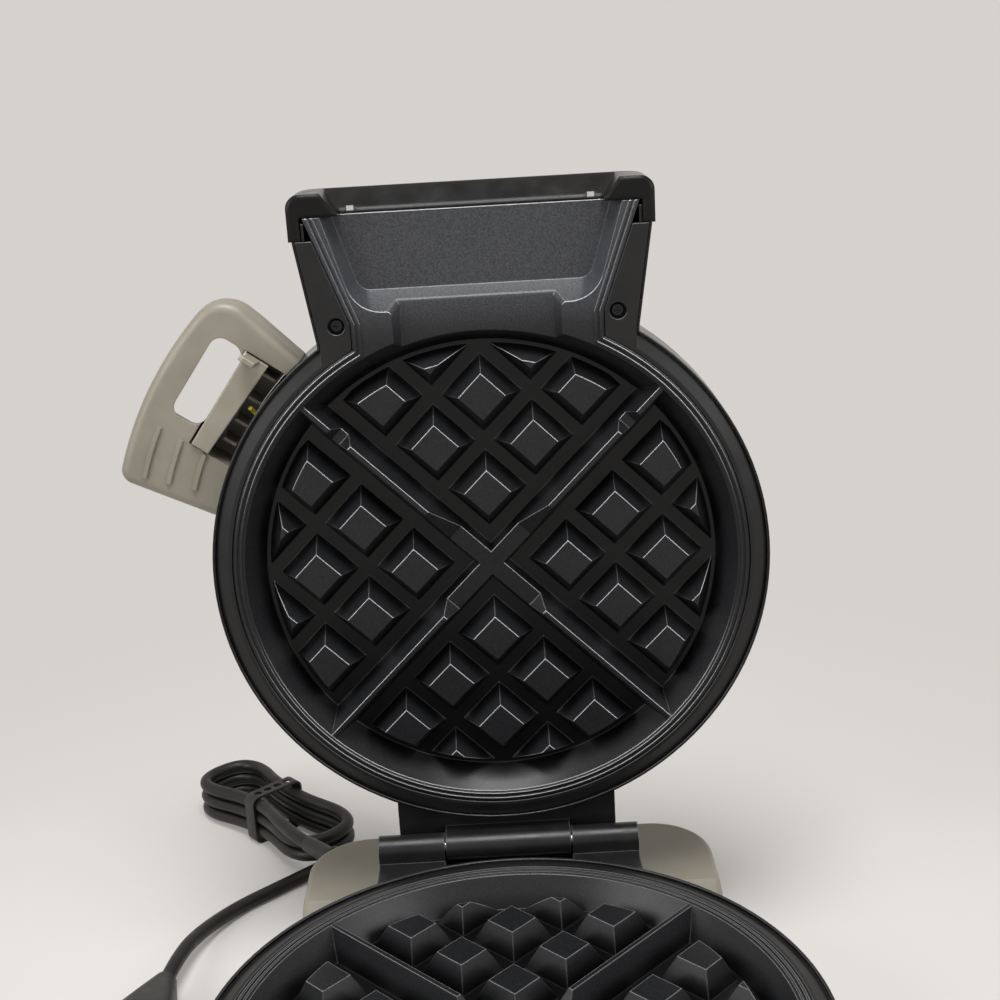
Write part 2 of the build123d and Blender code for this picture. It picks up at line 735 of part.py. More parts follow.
# Rear reflector: a thin steel dish on the plate's three posts. It has a hole for the
# thermostat and a notch in its rim for the element's ends.
with BuildPart() as rear_reflector:
    with BuildSketch(facing(reflector_depth)):
        Circle(reflector_radius)
    extrude(amount=-sheet)
    with BuildSketch(facing(reflector_depth)):
        Circle(reflector_radius)
        Circle(reflector_radius - sheet, mode=Mode.SUBTRACT)
    extrude(amount=3)
    with BuildSketch(facing(reflector_depth + 1)):
        Circle(thermostat_radius + 1.5)
        with PolarLocations(post_circle, 3, start_angle=90):
            Circle(screw_radius + screw_clearance)
        with Locations((0, -reflector_radius)):
            Rectangle(2 * element_lead_x + 3 * element_diameter / 2 + 4, 16)
    extrude(amount=5, mode=Mode.SUBTRACT)
finish(rear_reflector, "rear_reflector")

# Reflector screws: three pan heads driven into the posts.
with BuildPart() as rear_reflector_screws:
    with BuildSketch(facing(reflector_depth + sheet)):
        with PolarLocations(post_circle, 3, start_angle=90):
            Circle(screw_head_radius)
    extrude(amount=-screw_head_height)
    with BuildSketch(facing(reflector_depth + sheet)):
        with PolarLocations(post_circle, 3, start_angle=90):
            Circle(screw_radius)
    extrude(amount=reflector_gap - 2)
finish(rear_reflector_screws, "rear_reflector_screws")

# Rear thermostat: a disc thermostat on the middle of the plate's back, with two blade terminals.
with BuildPart() as rear_thermostat:
    with BuildSketch(facing(plate_back)):
        Circle(thermostat_radius)
    extrude(amount=-thermostat_height)
    fillet(edges().group_by(Axis.Y)[-1], 1)
    with BuildSketch(facing(plate_back + thermostat_height)):
        with Locations((-4, 0), (4, 0)):
            Rectangle(0.8, 6.3)
    extrude(amount=-6)
finish(rear_thermostat, "rear_thermostat")

# Thermal fuse: a small cartridge that lies on the back of the rear reflector.
with BuildPart() as thermal_fuse:
    fuse_depth = reflector_depth + sheet + fuse_radius + seat_gap
    with BuildSketch(Plane(origin=(-fuse_length / 2, fuse_depth, disc_z - 50), z_dir=(1, 0, 0))):
        Circle(fuse_radius)
    extrude(amount=fuse_length)
    with BuildSketch(Plane(origin=(-fuse_length, fuse_depth, disc_z - 50), z_dir=(1, 0, 0))):
        Circle(0.5)
    extrude(amount=2 * fuse_length)
finish(thermal_fuse, "thermal_fuse")


def off_shell(edge):
    """Whether an edge of a handle half is one that doesn't touch the shell."""
    middle = grip_plane(0).to_local_coords(edge @ 0.5)
    return sqrt(middle.X ** 2 + middle.Y ** 2) > shell_radius + 1


def handle_half(face, back, slot_start, pocket_depth_here):
    """One handle half between two depths: a rounded sector with a finger slot and a pocket."""
    with BuildPart() as grip:
        with BuildSketch(grip_plane(face)):
            Circle(handle_radius)
            with Locations((shell_radius, 0)):
                Polygon(*handle_top_line, *reversed(handle_low_line), align=None, mode=Mode.INTERSECT)
            Circle(shell_radius + seat_gap, mode=Mode.SUBTRACT)
            outer = vertices().sort_by(Axis.X)[-2:]
            fillet(outer.sort_by(Axis.Y)[0], handle_top_corner)
            fillet(vertices().sort_by(Axis.Y)[-2:].sort_by(Axis.X)[-1], handle_low_corner)
        extrude(amount=-(back - face))
        with BuildSketch(grip_section()):
            Polygon(
                (0, face - 1), (handle_radius + 5, face - 1),
                (handle_radius + 5, back - handle_thinning), (handle_thin_from, back), (0, back),
                align=None,
            )
        extrude(amount=handle_radius, both=True, mode=Mode.INTERSECT)
        fillet(edges().filter_by(off_shell).group_by(Axis.Y)[0], handle_edge)
        behind = edges().filter_by(off_shell).filter_by(
            lambda edge: (edge @ 0.5).Y > back - handle_thinning - 1 and abs((edge % 0.5).Y) < 0.9
        )
        fillet(behind, handle_edge)
        with BuildSketch(grip_plane(face)):
            middle = (slot_start + slot_bottom) / 2
            with Locations(((slot_inner + slot_outer) / 2, middle)):
                RectangleRounded(slot_outer - slot_inner, slot_bottom - slot_start, slot_corner)
        with BuildSketch(grip_plane(back)):
            with Locations(((slot_inner + slot_outer + slot_flare) / 2, middle + slot_flare / 2)):
                RectangleRounded(
                    slot_outer - slot_inner + slot_flare, slot_bottom - slot_start + slot_flare,
                    slot_corner,
                )
        loft(mode=Mode.SUBTRACT)
        with BuildSketch(grip_plane(face)):
            with Locations((pocket_outer / 2, 0)):
                Rectangle(pocket_outer, 2 * pocket_half)
        extrude(amount=-pocket_depth_here, mode=Mode.SUBTRACT)
    return grip.part


# Rear handle: moulded half with a finger slot, the latch's pocket with stiffening ribs, and
# three grip ribs on its face.
with BuildPart() as rear_handle:
    add(handle_half(handle_face, handle_back, slot_top, handle_back - pocket_floor - handle_face))
    for along in pocket_ribs:
        with BuildSketch(grip_section(along - pocket_rib_width / 2)):
            Polygon(
                (shell_radius + seat_gap, pocket_rib_depth), (pocket_rib_reach, pocket_rib_depth),
                (pocket_rib_reach, handle_back - 1), (shell_radius + seat_gap, handle_back - 1),
                align=None,
            )
        extrude(amount=pocket_rib_width)
    with BuildSketch(grip_plane(handle_face)):
        for radius in rib_radii:
            Circle(radius + rib_width / 2)
            Circle(radius - rib_width / 2, mode=Mode.SUBTRACT)
        reach = handle_radius * tan(radians(rib_end_angle))
        Polygon((0, 0), (shell_radius, rib_start), (handle_radius, rib_start), (handle_radius, reach),
                align=None, mode=Mode.INTERSECT)
    extrude(amount=rib_height)
    with BuildSketch(grip_section(-latch_pin_half)):
        with Locations((latch_pin_distance, latch_pin_depth)):
            Circle(latch_pin_radius + latch_pin_clearance)
    extrude(amount=2 * latch_pin_half, mode=Mode.SUBTRACT)
    add(screw_holes(rear_handle_places), mode=Mode.SUBTRACT)
finish(rear_handle, "rear_handle")

# Handle screws, from inside the shell.
rear_handle_screws = radial_screws(rear_handle_places)
finish(rear_handle_screws, "rear_handle_screws")

# Latch pin: a steel pin across the pocket, held in its end walls.
with BuildPart() as latch_pin:
    with BuildSketch(grip_section(-latch_pin_half)):
        with Locations((latch_pin_distance, latch_pin_depth)):
            Circle(latch_pin_radius)
    extrude(amount=2 * latch_pin_half)
finish(latch_pin, "latch_pin")

# Latch lever: a moulded squeeze bar on a thin web. Two barrels turn on the pin, and a hook at
# the bar's upper end reaches forward to the front half.
with BuildPart() as latch_lever:
    with BuildSketch(grip_plane(bar_face)):
        Polygon(
            (bar_inner - bar_flare, -bar_half), (bar_inner, bar_half), (bar_outer, bar_half),
            (bar_outer, -bar_half), align=None,
        )
    extrude(amount=-bar_thickness)
    with BuildSketch(grip_section(-bar_half)):
        with Locations((bar_outer - lever_web / 2, (bar_face + lever_foot) / 2)):
            Rectangle(lever_web, lever_foot - bar_face)
    extrude(amount=2 * bar_half)
    for start in (-bar_half, barrel_inner_end):
        with BuildSketch(grip_section(start)):
            with Locations((latch_pin_distance, latch_pin_depth)):
                Circle(barrel_radius)
            with Locations(((latch_pin_distance + bar_outer) / 2, latch_pin_depth)):
                Rectangle(bar_outer - latch_pin_distance, 2 * (lever_foot - latch_pin_depth))
        extrude(amount=bar_half - barrel_inner_end)
    with BuildSketch(grip_section(-bar_half)):
        Polygon(
            (bar_outer, bar_face + bar_thickness), (hook_inner, bar_face + bar_thickness),
            (hook_inner, bar_face), (hook_inner + 1, hook_tip), (bar_outer, hook_tip),
            (bar_outer + hook_barb, hook_tip + 1), (bar_outer + hook_barb, barb_back),
            (bar_outer, barb_back), align=None,
        )
    extrude(amount=hook_width)
    with BuildSketch(grip_section(-bar_half)):
        with Locations((latch_pin_distance, latch_pin_depth)):
            Circle(latch_pin_radius + latch_pin_clearance)
    extrude(amount=2 * bar_half, mode=Mode.SUBTRACT)
finish(latch_lever, "latch_lever")


def biarcs(points, tangents):
    """Pairs of tangent arcs through the points, leaving each along its given tangent."""
    arcs = []
    for i in range(len(points) - 1):
        p, q, t, u = points[i], points[i + 1], tangents[i], tangents[i + 1]
        span = q - p
        a = 2 * (t.dot(u) - 1)
        b = -2 * span.dot(t + u)
        reach = (-b - sqrt(b * b - 4 * a * span.dot(span))) / (2 * a)
        middle = (p + t * reach + q - u * reach) * 0.5
        arcs.append(TangentArc(p, middle, tangent=t))
        arcs.append(TangentArc(middle, q, tangent=q - u * reach - middle))
    return arcs


def least_gap(line, diameter):
    """Least clear gap between turns of one tube, measured between points along its line."""
    count = int(line.length / (diameter / 2))
    samples = [line.position_at(i / count) for i in range(count + 1)]
    skip = 8
    return min(
        (samples[i] - samples[j]).length
        for i in range(count + 1) for j in range(i + skip, count + 1)
    ) - diameter


# Latch spring: a torsion spring round the pin between the barrels. One leg lies along the
# pocket's floor and the other reaches toward the lever's web.
coil = grip_section()
quarters = 4 * spring_turns + 2
rise = spring_pitch / (2 * pi)
coil_points = []
coil_tangents = []
for quarter in range(quarters + 1):
    turn = pi / 2 - quarter * pi / 2
    along = (quarter - quarters / 2) * spring_pitch / 4
    local = Vector(
        latch_pin_distance + spring_radius * cos(turn), latch_pin_depth + spring_radius * sin(turn),
        along,
    )
    heading = Vector(spring_radius * sin(turn), -spring_radius * cos(turn), rise).normalized()
    coil_points.append(coil.from_local_coords(local))
    coil_tangents.append(coil.from_local_coords(heading) - coil.origin)
with BuildPart() as latch_spring:
    with BuildLine() as spring_line:
        Line(coil_points[0] - coil_tangents[0] * spring_leg, coil_points[0])
        biarcs(coil_points, coil_tangents)
        Line(coil_points[-1], coil_points[-1] + coil_tangents[-1] * 2 * spring_wire)
    with BuildSketch(Plane(origin=spring_line.line @ 0, z_dir=spring_line.line % 0)):
        Circle(spring_wire / 2)
    sweep(path=spring_line.line)
finish(latch_spring, "latch_spring")
print("latch spring gap", round(least_gap(spring_line.wire(), spring_wire), 2))

# Front half: the same castings, mouldings and heating parts, folded forward about the hinge.
finish_folded(rear_plate, "front_plate")
finish_folded(rear_bezel, "front_bezel")
finish_folded(rear_bezel_screws, "front_bezel_screws")
finish_folded(rear_cover, "front_cover")
finish_folded(rear_collar_clips, "front_collar_clips")
finish_folded(rear_collar, "front_collar")
finish_folded(rear_element, "front_element")
finish_folded(rear_reflector, "front_reflector")
finish_folded(rear_reflector_screws, "front_reflector_screws")
finish_folded(rear_thermostat, "front_thermostat")

# Front shell: with holes for its handle's screws and for the hinge ears' screws.
front_handle_places = [(handle_angle + angle, depth) for angle, depth in front_handle_screws]
with BuildPart() as front_shell:
    add(shell_body.part)
    add(screw_holes(front_handle_places + list(ear_screws)), mode=Mode.SUBTRACT)
finish_folded(front_shell, "front_shell")

# Front handle: its inner face reaches past the parting plane to meet the rear half. A recess
# at the upper end of its pocket takes the latch's hook, and holds the striker plate.
striker_half = hook_width / 2 + hook_room
hook_middle = -bar_half + hook_width / 2
with BuildPart() as striker_plate:
    with BuildSketch(grip_section(hook_middle - striker_half - 1)):
        with Locations(((striker_inner + striker_outer) / 2, -striker_face - striker_thickness / 2)):
            Rectangle(striker_outer - striker_inner, striker_thickness)
    extrude(amount=2 * striker_half + 2)
finish_folded(striker_plate, "striker_plate")
with BuildPart() as front_handle:
    add(handle_half(front_handle_face, front_handle_back, front_slot_top, front_pocket_depth))
    with BuildSketch(grip_plane(front_handle_face)):
        with Locations((sum(hook_recess) / 2, hook_middle)):
            Rectangle(hook_recess[1] - hook_recess[0], 2 * striker_half)
    extrude(amount=-hook_recess_depth, mode=Mode.SUBTRACT)
    add(striker_plate.part, mode=Mode.SUBTRACT)
    add(screw_holes(front_handle_places), mode=Mode.SUBTRACT)
finish_folded(front_handle, "front_handle")
front_handle_screws_part = radial_screws(front_handle_places)
finish_folded(front_handle_screws_part, "front_handle_screws")

# Hinge ears: two moulded arms screwed under the front shell, bored for the bushes and the pin.
with BuildPart() as hinge_ears:
    for start in (-ear_outer, ear_inner):
        with BuildSketch(Plane.YZ.offset(start)):
            with Locations((0, hinge_z)):
                Circle(knuckle_radius)
            Polygon(
                (0, hinge_z - knuckle_radius), (ear_back / 2, hinge_z - knuckle_radius),
                (ear_back, hinge_z + ear_front), (ear_back, disc_z - shell_radius / 2),
                (ear_front, disc_z - shell_radius / 2), (ear_front, hinge_z + knuckle_radius),
                (0, hinge_z + knuckle_radius), align=None,
            )
        extrude(amount=ear_outer - ear_inner)
    add(shell_form.part, mode=Mode.SUBTRACT)
    with BuildSketch(Plane.YZ.offset(-ear_outer)):
        with Locations((0, hinge_z)):
            Circle(hinge_pin_radius + 2 * hinge_clearance)
    extrude(amount=2 * ear_outer, mode=Mode.SUBTRACT)
    for start in (-ear_inner - bush_length, ear_inner):
        with BuildSketch(Plane.YZ.offset(start)):
            with Locations((0, hinge_z)):
                Circle(bush_radius)
        extrude(amount=bush_length, mode=Mode.SUBTRACT)
    add(screw_holes(ear_screws), mode=Mode.SUBTRACT)
finish_folded(hinge_ears, "hinge_ears")

# Hinge bushes: plain bronze sleeves pressed into the ears.
with BuildPart() as hinge_bushes:
    for start in (-ear_inner - bush_length, ear_inner):
        with BuildSketch(Plane.YZ.offset(start)):
            with Locations((0, hinge_z)):
                Circle(bush_radius)
                Circle(hinge_pin_radius + hinge_clearance, mode=Mode.SUBTRACT)
        extrude(amount=bush_length)
finish_folded(hinge_bushes, "hinge_bushes")
hinge_screws = radial_screws(ear_screws)
finish_folded(hinge_screws, "hinge_screws")

# Neck: hollow black pillar that carries the rear half, with the middle hinge knuckle in front.
with BuildPart() as neck:
    with BuildSketch(Plane.XY.offset(base_top)):
        with Locations((0, neck_front + neck_depth / 2)):
            Rectangle(2 * neck_half_width, neck_depth)
        fillet(vertices().group_by(Axis.Y)[-1], neck_corner)
    extrude(amount=disc_z - shell_radius / 2 - base_top)
    with BuildSketch(Plane.YZ.offset(-knuckle_half)):
        with Locations((0, hinge_z)):
            Circle(knuckle_radius)
        with Locations(((neck_front + neck_wall) / 2, hinge_z)):
            Rectangle(neck_front + neck_wall, 2 * knuckle_radius)
    extrude(amount=2 * knuckle_half)
    add(shell_form.part, mode=Mode.SUBTRACT)
    with BuildSketch(Plane.XY.offset(base_top)):
        with Locations((0, neck_front + neck_depth / 2)):
            Rectangle(2 * (neck_half_width - neck_wall), neck_depth - 2 * neck_wall)
    extrude(amount=neck_hollow_top - base_top, mode=Mode.SUBTRACT)
    with BuildSketch(Plane.XY.offset(base_top)):
        with Locations((0, element_depth)):
            Rectangle(*wire_slot)
    extrude(amount=hinge_drop, mode=Mode.SUBTRACT)
    with BuildSketch(Plane.YZ.offset(-knuckle_half)):
        with Locations((0, hinge_z)):
            Circle(hinge_pin_radius + hinge_clearance)
    extrude(amount=2 * knuckle_half, mode=Mode.SUBTRACT)
    add(screw_holes(neck_screws), mode=Mode.SUBTRACT)
finish(neck, "neck")
neck_screws_part = radial_screws(neck_screws)
finish(neck_screws_part, "neck_screws")

# Hinge pin: one steel rod through the knuckle and both ears.
with BuildPart() as hinge_pin:
    with BuildSketch(Plane.YZ.offset(-hinge_pin_half)):
        with Locations((0, hinge_z)):
            Circle(hinge_pin_radius)
    extrude(amount=2 * hinge_pin_half)
    chamfer(edges().filter_by(GeomType.CIRCLE), 0.4)
finish(hinge_pin, "hinge_pin")


def base_block(inset):
    """Block of the base, set in from its outside by inset: low apron in front, high behind."""
    with BuildPart() as block:
        with BuildSketch(Plane.YZ.offset(-base_half_width)):
            Polygon(
                (base_front + inset, base_foot), (base_front + inset, apron_top - base_nose),
                (base_front + base_nose + inset, apron_top - inset), (apron_back, apron_top - inset),
                (shoulder_y, base_top - inset), (base_back - inset, base_top - inset),
                (base_back - inset, base_foot), align=None,
            )
        extrude(amount=2 * base_half_width)
        with BuildSketch(Plane.XY):
            with Locations((0, (base_front + base_back) / 2)):
                RectangleRounded(
                    2 * (base_half_width - inset), base_back - base_front - 2 * inset,
                    base_corner - inset,
                )
        extrude(amount=2 * base_top, mode=Mode.INTERSECT)
    return block.part


post_places = [(x, y) for x in (-base_boss_x, base_boss_x) for y in base_boss_y]


def base_posts(radius, low, high):
    """Four round posts inside the base, at the places of its cover's screws."""
    with BuildPart() as posts:
        with BuildSketch(Plane.XY.offset(low)):
            with Locations(*post_places):
                Circle(radius)
        extrude(amount=high - low)
    return posts.part


# Strain relief's frame: x along the cord's heading from the rounded back left corner.
cord_heading = Vector(cos(radians(cord_angle)), sin(radians(cord_angle)), 0)
corner_centre = Vector(base_corner - base_half_width, base_back - base_corner, 0)
hank_plane = Plane(
    origin=corner_centre + cord_heading * (base_corner + relief_reach), x_dir=cord_heading,
    z_dir=(0, 0, 1),
)
first_layer = cord_diameter / 2 + 0.1
cord_z = first_layer + hank_layers * layer_step


def relief_disc(inward, radius, length):
    """A round length of the strain relief, from inward of its tip toward the hank."""
    with BuildPart() as piece:
        foot = hank_plane.from_local_coords(Vector(-inward, 0, cord_z))
        with BuildSketch(Plane(origin=foot, z_dir=cord_heading)):
            Circle(radius)
        extrude(amount=length)
    return piece.part


cover_top = base_foot + base_cover_thickness
with BuildPart() as base_posts_part:
    add(base_posts(boss_radius, cover_top, base_top))
    add(base_block(base_wall / 2), mode=Mode.INTERSECT)

# Base housing: hollow moulding with rounded top edges, holes for the knob's shaft, the lights,
# the wires and the strain relief, and four posts for the cover's screws.
with BuildPart() as base_housing:
    add(base_block(0))
    rim = faces().filter_by(lambda face: abs(face.normal_at().Z) < 0.01).edges()
    rim = rim.filter_by(lambda edge: edge.center().Z > apron_top - 1 and abs((edge % 0.5).Z) < 0.9)
    fillet(rim, base_edge)
    add(base_block(base_wall), mode=Mode.SUBTRACT)
    add(base_posts_part.part)
    add(base_posts(screw_radius + screw_clearance, cover_top, cover_top + 6), mode=Mode.SUBTRACT)
    with BuildSketch(Plane.XY.offset(base_foot)):
        with Locations((0, knob_y)):
            Circle(knob_shaft_radius + 2 * seat_gap)
        with Locations((-lens_x, knob_y), (lens_x, knob_y)):
            Circle(lens_radius + seat_gap)
        with Locations((0, element_depth)):
            Rectangle(*wire_slot)
    extrude(amount=base_top, mode=Mode.SUBTRACT)
    add(relief_disc(relief_reach + base_corner / 2, relief_root_radius + seat_gap, base_corner),
        mode=Mode.SUBTRACT)
finish(base_housing, "base_housing")

# Base cover: flat moulded plate inside the housing's lower edge, with screw holes and a hole
# for each foot's stud.
foot_places = [(0, 0)] + [(x, y) for x in (-foot_x, foot_x) for y in foot_y]
with BuildPart() as base_cover:
    with BuildSketch(Plane.XY.offset(base_foot)):
        with Locations((0, (base_front + base_back) / 2)):
            RectangleRounded(
                2 * (base_half_width - base_wall - seat_gap),
                base_back - base_front - 2 * (base_wall + seat_gap),
                base_corner - base_wall - seat_gap,
            )
        with Locations(*post_places):
            Circle(screw_radius + screw_clearance, mode=Mode.SUBTRACT)
        with Locations(*foot_places):
            Circle(foot_radius / 2 + seat_gap, mode=Mode.SUBTRACT)
    extrude(amount=base_cover_thickness)
finish(base_cover, "base_cover")

# Base screws: four pan heads under the cover.
with BuildPart() as base_screws:
    with BuildSketch(Plane.XY.offset(base_foot)):
        with Locations(*post_places):
            Circle(screw_head_radius)
    extrude(amount=-screw_head_height)
    with BuildSketch(Plane.XY.offset(base_foot)):
        with Locations(*post_places):
            Circle(screw_radius)
    extrude(amount=base_cover_thickness + 5)
finish(base_screws, "base_screws")

# Feet: five soft rubber pads, near the corners and in the middle, each with a stud pushed into
# the cover. The middle one stands below the neck, which bears most of the weight.
with BuildPart() as feet:
    with BuildSketch(Plane.XY):
        with Locations(*foot_places):
            Circle(foot_radius)
    extrude(amount=base_foot)
    chamfer(edges().group_by(Axis.Z)[0], 0.5)
    with BuildSketch(Plane.XY.offset(base_foot)):
        with Locations(*foot_places):
            Circle(foot_radius / 2)
    extrude(amount=base_cover_thickness + 1)
finish(feet, "feet")

# Control board: circuit board under the apron.
board_z = cover_top + cover_gap
board_top = board_z + board_size[2]
with BuildPart() as control_board:
    with BuildSketch(Plane.XY.offset(board_z)):
        with Locations((0, knob_y)):
            Rectangle(board_size[0], board_size[1])
    extrude(amount=board_size[2])
finish(control_board, "control_board")

# Rotary control: low potentiometer on the board, bored for the knob's shaft.
with BuildPart() as rotary_control:
    with BuildSketch(Plane.XY.offset(board_top)):
        with Locations((0, knob_y)):
            RectangleRounded(2 * control_radius, 2 * control_radius, 3)
            Circle(knob_shaft_radius + hinge_clearance, mode=Mode.SUBTRACT)
    extrude(amount=control_height)
finish(rotary_control, "rotary_control")

# Light lenses: two clear light pipes from the board up through the apron.
with BuildPart() as light_lenses:
    with BuildSketch(Plane.XY.offset(board_top)):
        with Locations((-lens_x, knob_y), (lens_x, knob_y)):
            Circle(lens_radius)
    extrude(amount=apron_top + lens_proud - board_top)
    fillet(edges().group_by(Axis.Z)[-1], lens_proud)
finish(light_lenses, "light_lenses")

# Browning knob: low round knob with a pointer groove, on its own shaft.
knob_bottom = apron_top + cover_gap
with BuildPart() as knob:
    with BuildSketch(Plane.XY.offset(knob_bottom)):
        with Locations((0, knob_y)):
            Circle(knob_radius)
    extrude(amount=knob_height)
    fillet(edges().group_by(Axis.Z)[-1], 1.2)
    with BuildSketch(Plane.XY.offset(knob_bottom + knob_height)):
        with Locations((0, knob_y + knob_radius / 2)):
            Rectangle(pointer_width, knob_radius - 4)
    extrude(amount=-pointer_depth, mode=Mode.SUBTRACT)
    with BuildSketch(Plane.XY.offset(board_top + cover_gap)):
        with Locations((0, knob_y)):
            Circle(knob_shaft_radius)
    extrude(amount=knob_bottom - board_top - cover_gap)
finish(knob, "knob")

# Terminal block: the mains connections, on the cover below the neck.
with BuildPart() as terminal_block:
    with BuildSketch(Plane.XY.offset(board_z)):
        with Locations((0, element_depth)):
            Rectangle(terminal_size[0], terminal_size[1])
    extrude(amount=terminal_size[2])
    fillet(edges().filter_by(Axis.Z), 2)
finish(terminal_block, "terminal_block")

# Element wires: two straight sleeved wires from the terminal block up the neck to the pins.
terminal_top = board_z + terminal_size[2]
with BuildPart() as element_wires:
    with BuildSketch(Plane.XY.offset(terminal_top)):
        with Locations((-element_lead_x, element_depth), (element_lead_x, element_depth)):
            Circle(wire_radius)
    extrude(amount=disc_z - element_lead_end - pin_length - terminal_top)
finish(element_wires, "element_wires")

# Strain relief: a tapered rubber sleeve through the housing's corner, with a flange outside.
relief_inward = relief_reach + base_wall + relief_flange
lead_start = hank_plane.from_local_coords(Vector(-relief_inward, 0, cord_z))
relief_tip = hank_plane.from_local_coords(Vector(0, 0, cord_z))
with BuildPart() as strain_relief:
    add(relief_disc(relief_inward, relief_root_radius, relief_inward - relief_reach + relief_flange))
    add(relief_disc(relief_reach - seat_gap, relief_flange_radius, relief_flange))
    with BuildSketch(Plane(
        origin=relief_tip - cord_heading * (relief_reach - relief_flange), z_dir=cord_heading,
    )):
        Circle(relief_root_radius)
    with BuildSketch(Plane(origin=relief_tip, z_dir=cord_heading)):
        Circle(relief_tip_radius)
    loft()
finish(strain_relief, "strain_relief")

# Inner lead: the cord's cores from the strain relief to the terminal block.
block_side = Vector(-terminal_size[0] / 2, element_depth, board_z + terminal_size[2] / 2)
with BuildPart() as inner_lead:
    with BuildLine() as lead_line:
        FilletPolyline(
            lead_start, lead_start - cord_heading * 20, block_side - Vector(22, 0, 0), block_side,
            radius=[16, 16],
        )
    with BuildSketch(Plane(origin=lead_line.line @ 0, z_dir=lead_line.line % 0)):
        Circle(cord_diameter / 2 - 1)
    sweep(path=lead_line.line)
finish(inner_lead, "inner_lead")

# Cord hank: one unbroken tube. It comes straight out of the strain relief onto the top layer,
# sinks one layer on each pass of the near long side, and leaves flat on the table. Both long
# sides are drawn in at the waist, where the tie goes round.
hank_points = [Vector(0, 0, cord_z), Vector(entry_run, 0, cord_z)]
hank_radii = [entry_radius]
for layer in reversed(range(hank_layers)):
    low = first_layer + layer * layer_step
    hank_points += [
        Vector(waist_x, -waist_inset, low + layer_step / 2),
        Vector(hank_far, 0, low), Vector(hank_far, -hank_width, low),
        Vector(waist_x, waist_inset - hank_width, low + waist_lift), Vector(hank_near, -hank_width, low),
        Vector(hank_near, 0, low),
    ]
    hank_radii += [waist_radius, loop_radius, loop_radius, waist_radius, loop_radius, loop_radius]
hank_points[-1] = Vector(hank_near, hank_tail, first_layer)
with BuildPart() as cord_hank:
    with BuildLine() as hank_line:
        FilletPolyline(
            *[hank_plane.from_local_coords(point) for point in hank_points], radius=hank_radii[:-1],
        )
    with BuildSketch(Plane(origin=hank_line.line @ 0, z_dir=cord_heading)):
        Circle(cord_diameter / 2)
    sweep(path=hank_line.line)
finish(cord_hank, "cord_hank")
print("hank gap", round(least_gap(hank_line.wire(), cord_diameter), 2), "length",
      round(hank_line.wire().length, 1), "volume ratio",
      round(cord_hank.part.volume / (pi * cord_diameter ** 2 / 4 * hank_line.wire().length), 4))

# Cord tie: a flat strap round the waist of the hank, a little larger than the turns inside it.
hank_wire = hank_line.wire()
turns_at_waist = [hank_plane.to_local_coords(hank_wire.position_at(i / 800)) for i in range(801)]
turns_at_waist = [point for point in turns_at_waist if abs(point.X - waist_x) < tie_width / 2 + 1]
tie_room = cord_diameter / 2 + tie_gap
tie_sides = [limit(point.Y for point in turns_at_waist) for limit in (min, max)]
tie_heights = [limit(point.Z for point in turns_at_waist) for limit in (min, max)]
tie_span = (tie_sides[1] - tie_sides[0] + 2 * tie_room, tie_heights[1] - tie_heights[0] + 2 * tie_room)
with BuildPart() as cord_tie:
    with BuildSketch(Plane(
        origin=hank_plane.from_local_coords(Vector(waist_x - tie_width / 2, 0, 0)),
        x_dir=hank_plane.y_dir, z_dir=cord_heading,
    )):
        with Locations((sum(tie_sides) / 2, sum(tie_heights) / 2)):
            RectangleRounded(tie_span[0] + 2 * tie_thickness, tie_span[1] + 2 * tie_thickness, 4)
            RectangleRounded(tie_span[0], tie_span[1], 4 - tie_thickness, mode=Mode.SUBTRACT)
    extrude(amount=tie_width)
finish(cord_tie, "cord_tie")

# Cord tail: the free end from the hank's last loop to the plug, along the table.
with BuildPart() as cord_tail:
    turns = []
    for before, at, after in zip(tail_route, tail_route[1:], tail_route[2:]):
        arriving, leaving = Vector(at) - Vector(before), Vector(after) - Vector(at)
        half_turn = radians(arriving.get_angle(leaving)) / 2
        turns.append(0.45 * min(arriving.length, leaving.length) / tan(half_turn))
    with BuildLine() as tail_line:
        FilletPolyline(
            *[hank_plane.from_local_coords(Vector(point)) for point in tail_route], radius=turns,
        )
    with BuildSketch(Plane(origin=tail_line.line @ 0, z_dir=tail_line.line % 0)):
        Circle(cord_diameter / 2)
    sweep(path=tail_line.line)
finish(cord_tail, "cord_tail")
print("tail radii", [round(radius) for radius in turns], "length", round(tail_line.wire().length, 1),
      "volume ratio",
      round(cord_tail.part.volume / (pi * cord_diameter ** 2 / 4 * tail_line.wire().length), 4))

# Plug: moulded body that lies on the table, with two flat blades and a round earth pin.
plug_heading = tail_line.line % 1
plug_side = Vector(-plug_heading.Y, plug_heading.X, 0)
plug_end = tail_line.line @ 1
with BuildPart() as plug:
    for along, width, height, corner in plug_sections:
        with BuildSketch(Plane(
            origin=plug_end + plug_heading * along, x_dir=plug_side, z_dir=plug_heading,
        )):
            RectangleRounded(width, height, corner)
    loft()
finish(plug, "plug")
plug_face = Plane(
    origin=plug_end + plug_heading * plug_sections[-1][0], x_dir=plug_side, z_dir=plug_heading,
)
with BuildPart() as plug_blades:
    with BuildSketch(plug_face):
        with Locations((-blade_x, blade_up), (blade_x, blade_up)):
            Rectangle(blade_size[0], blade_size[1])
    extrude(amount=blade_size[2])
    with BuildSketch(plug_face):
        with Locations((0, -earth_pin_down)):
            Circle(earth_pin_radius)
    extrude(amount=earth_pin_length)
finish(plug_blades, "plug_blades")
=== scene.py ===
import json
from math import cos, radians, sin

import bmesh
import bpy
from mathutils import Matrix, Vector


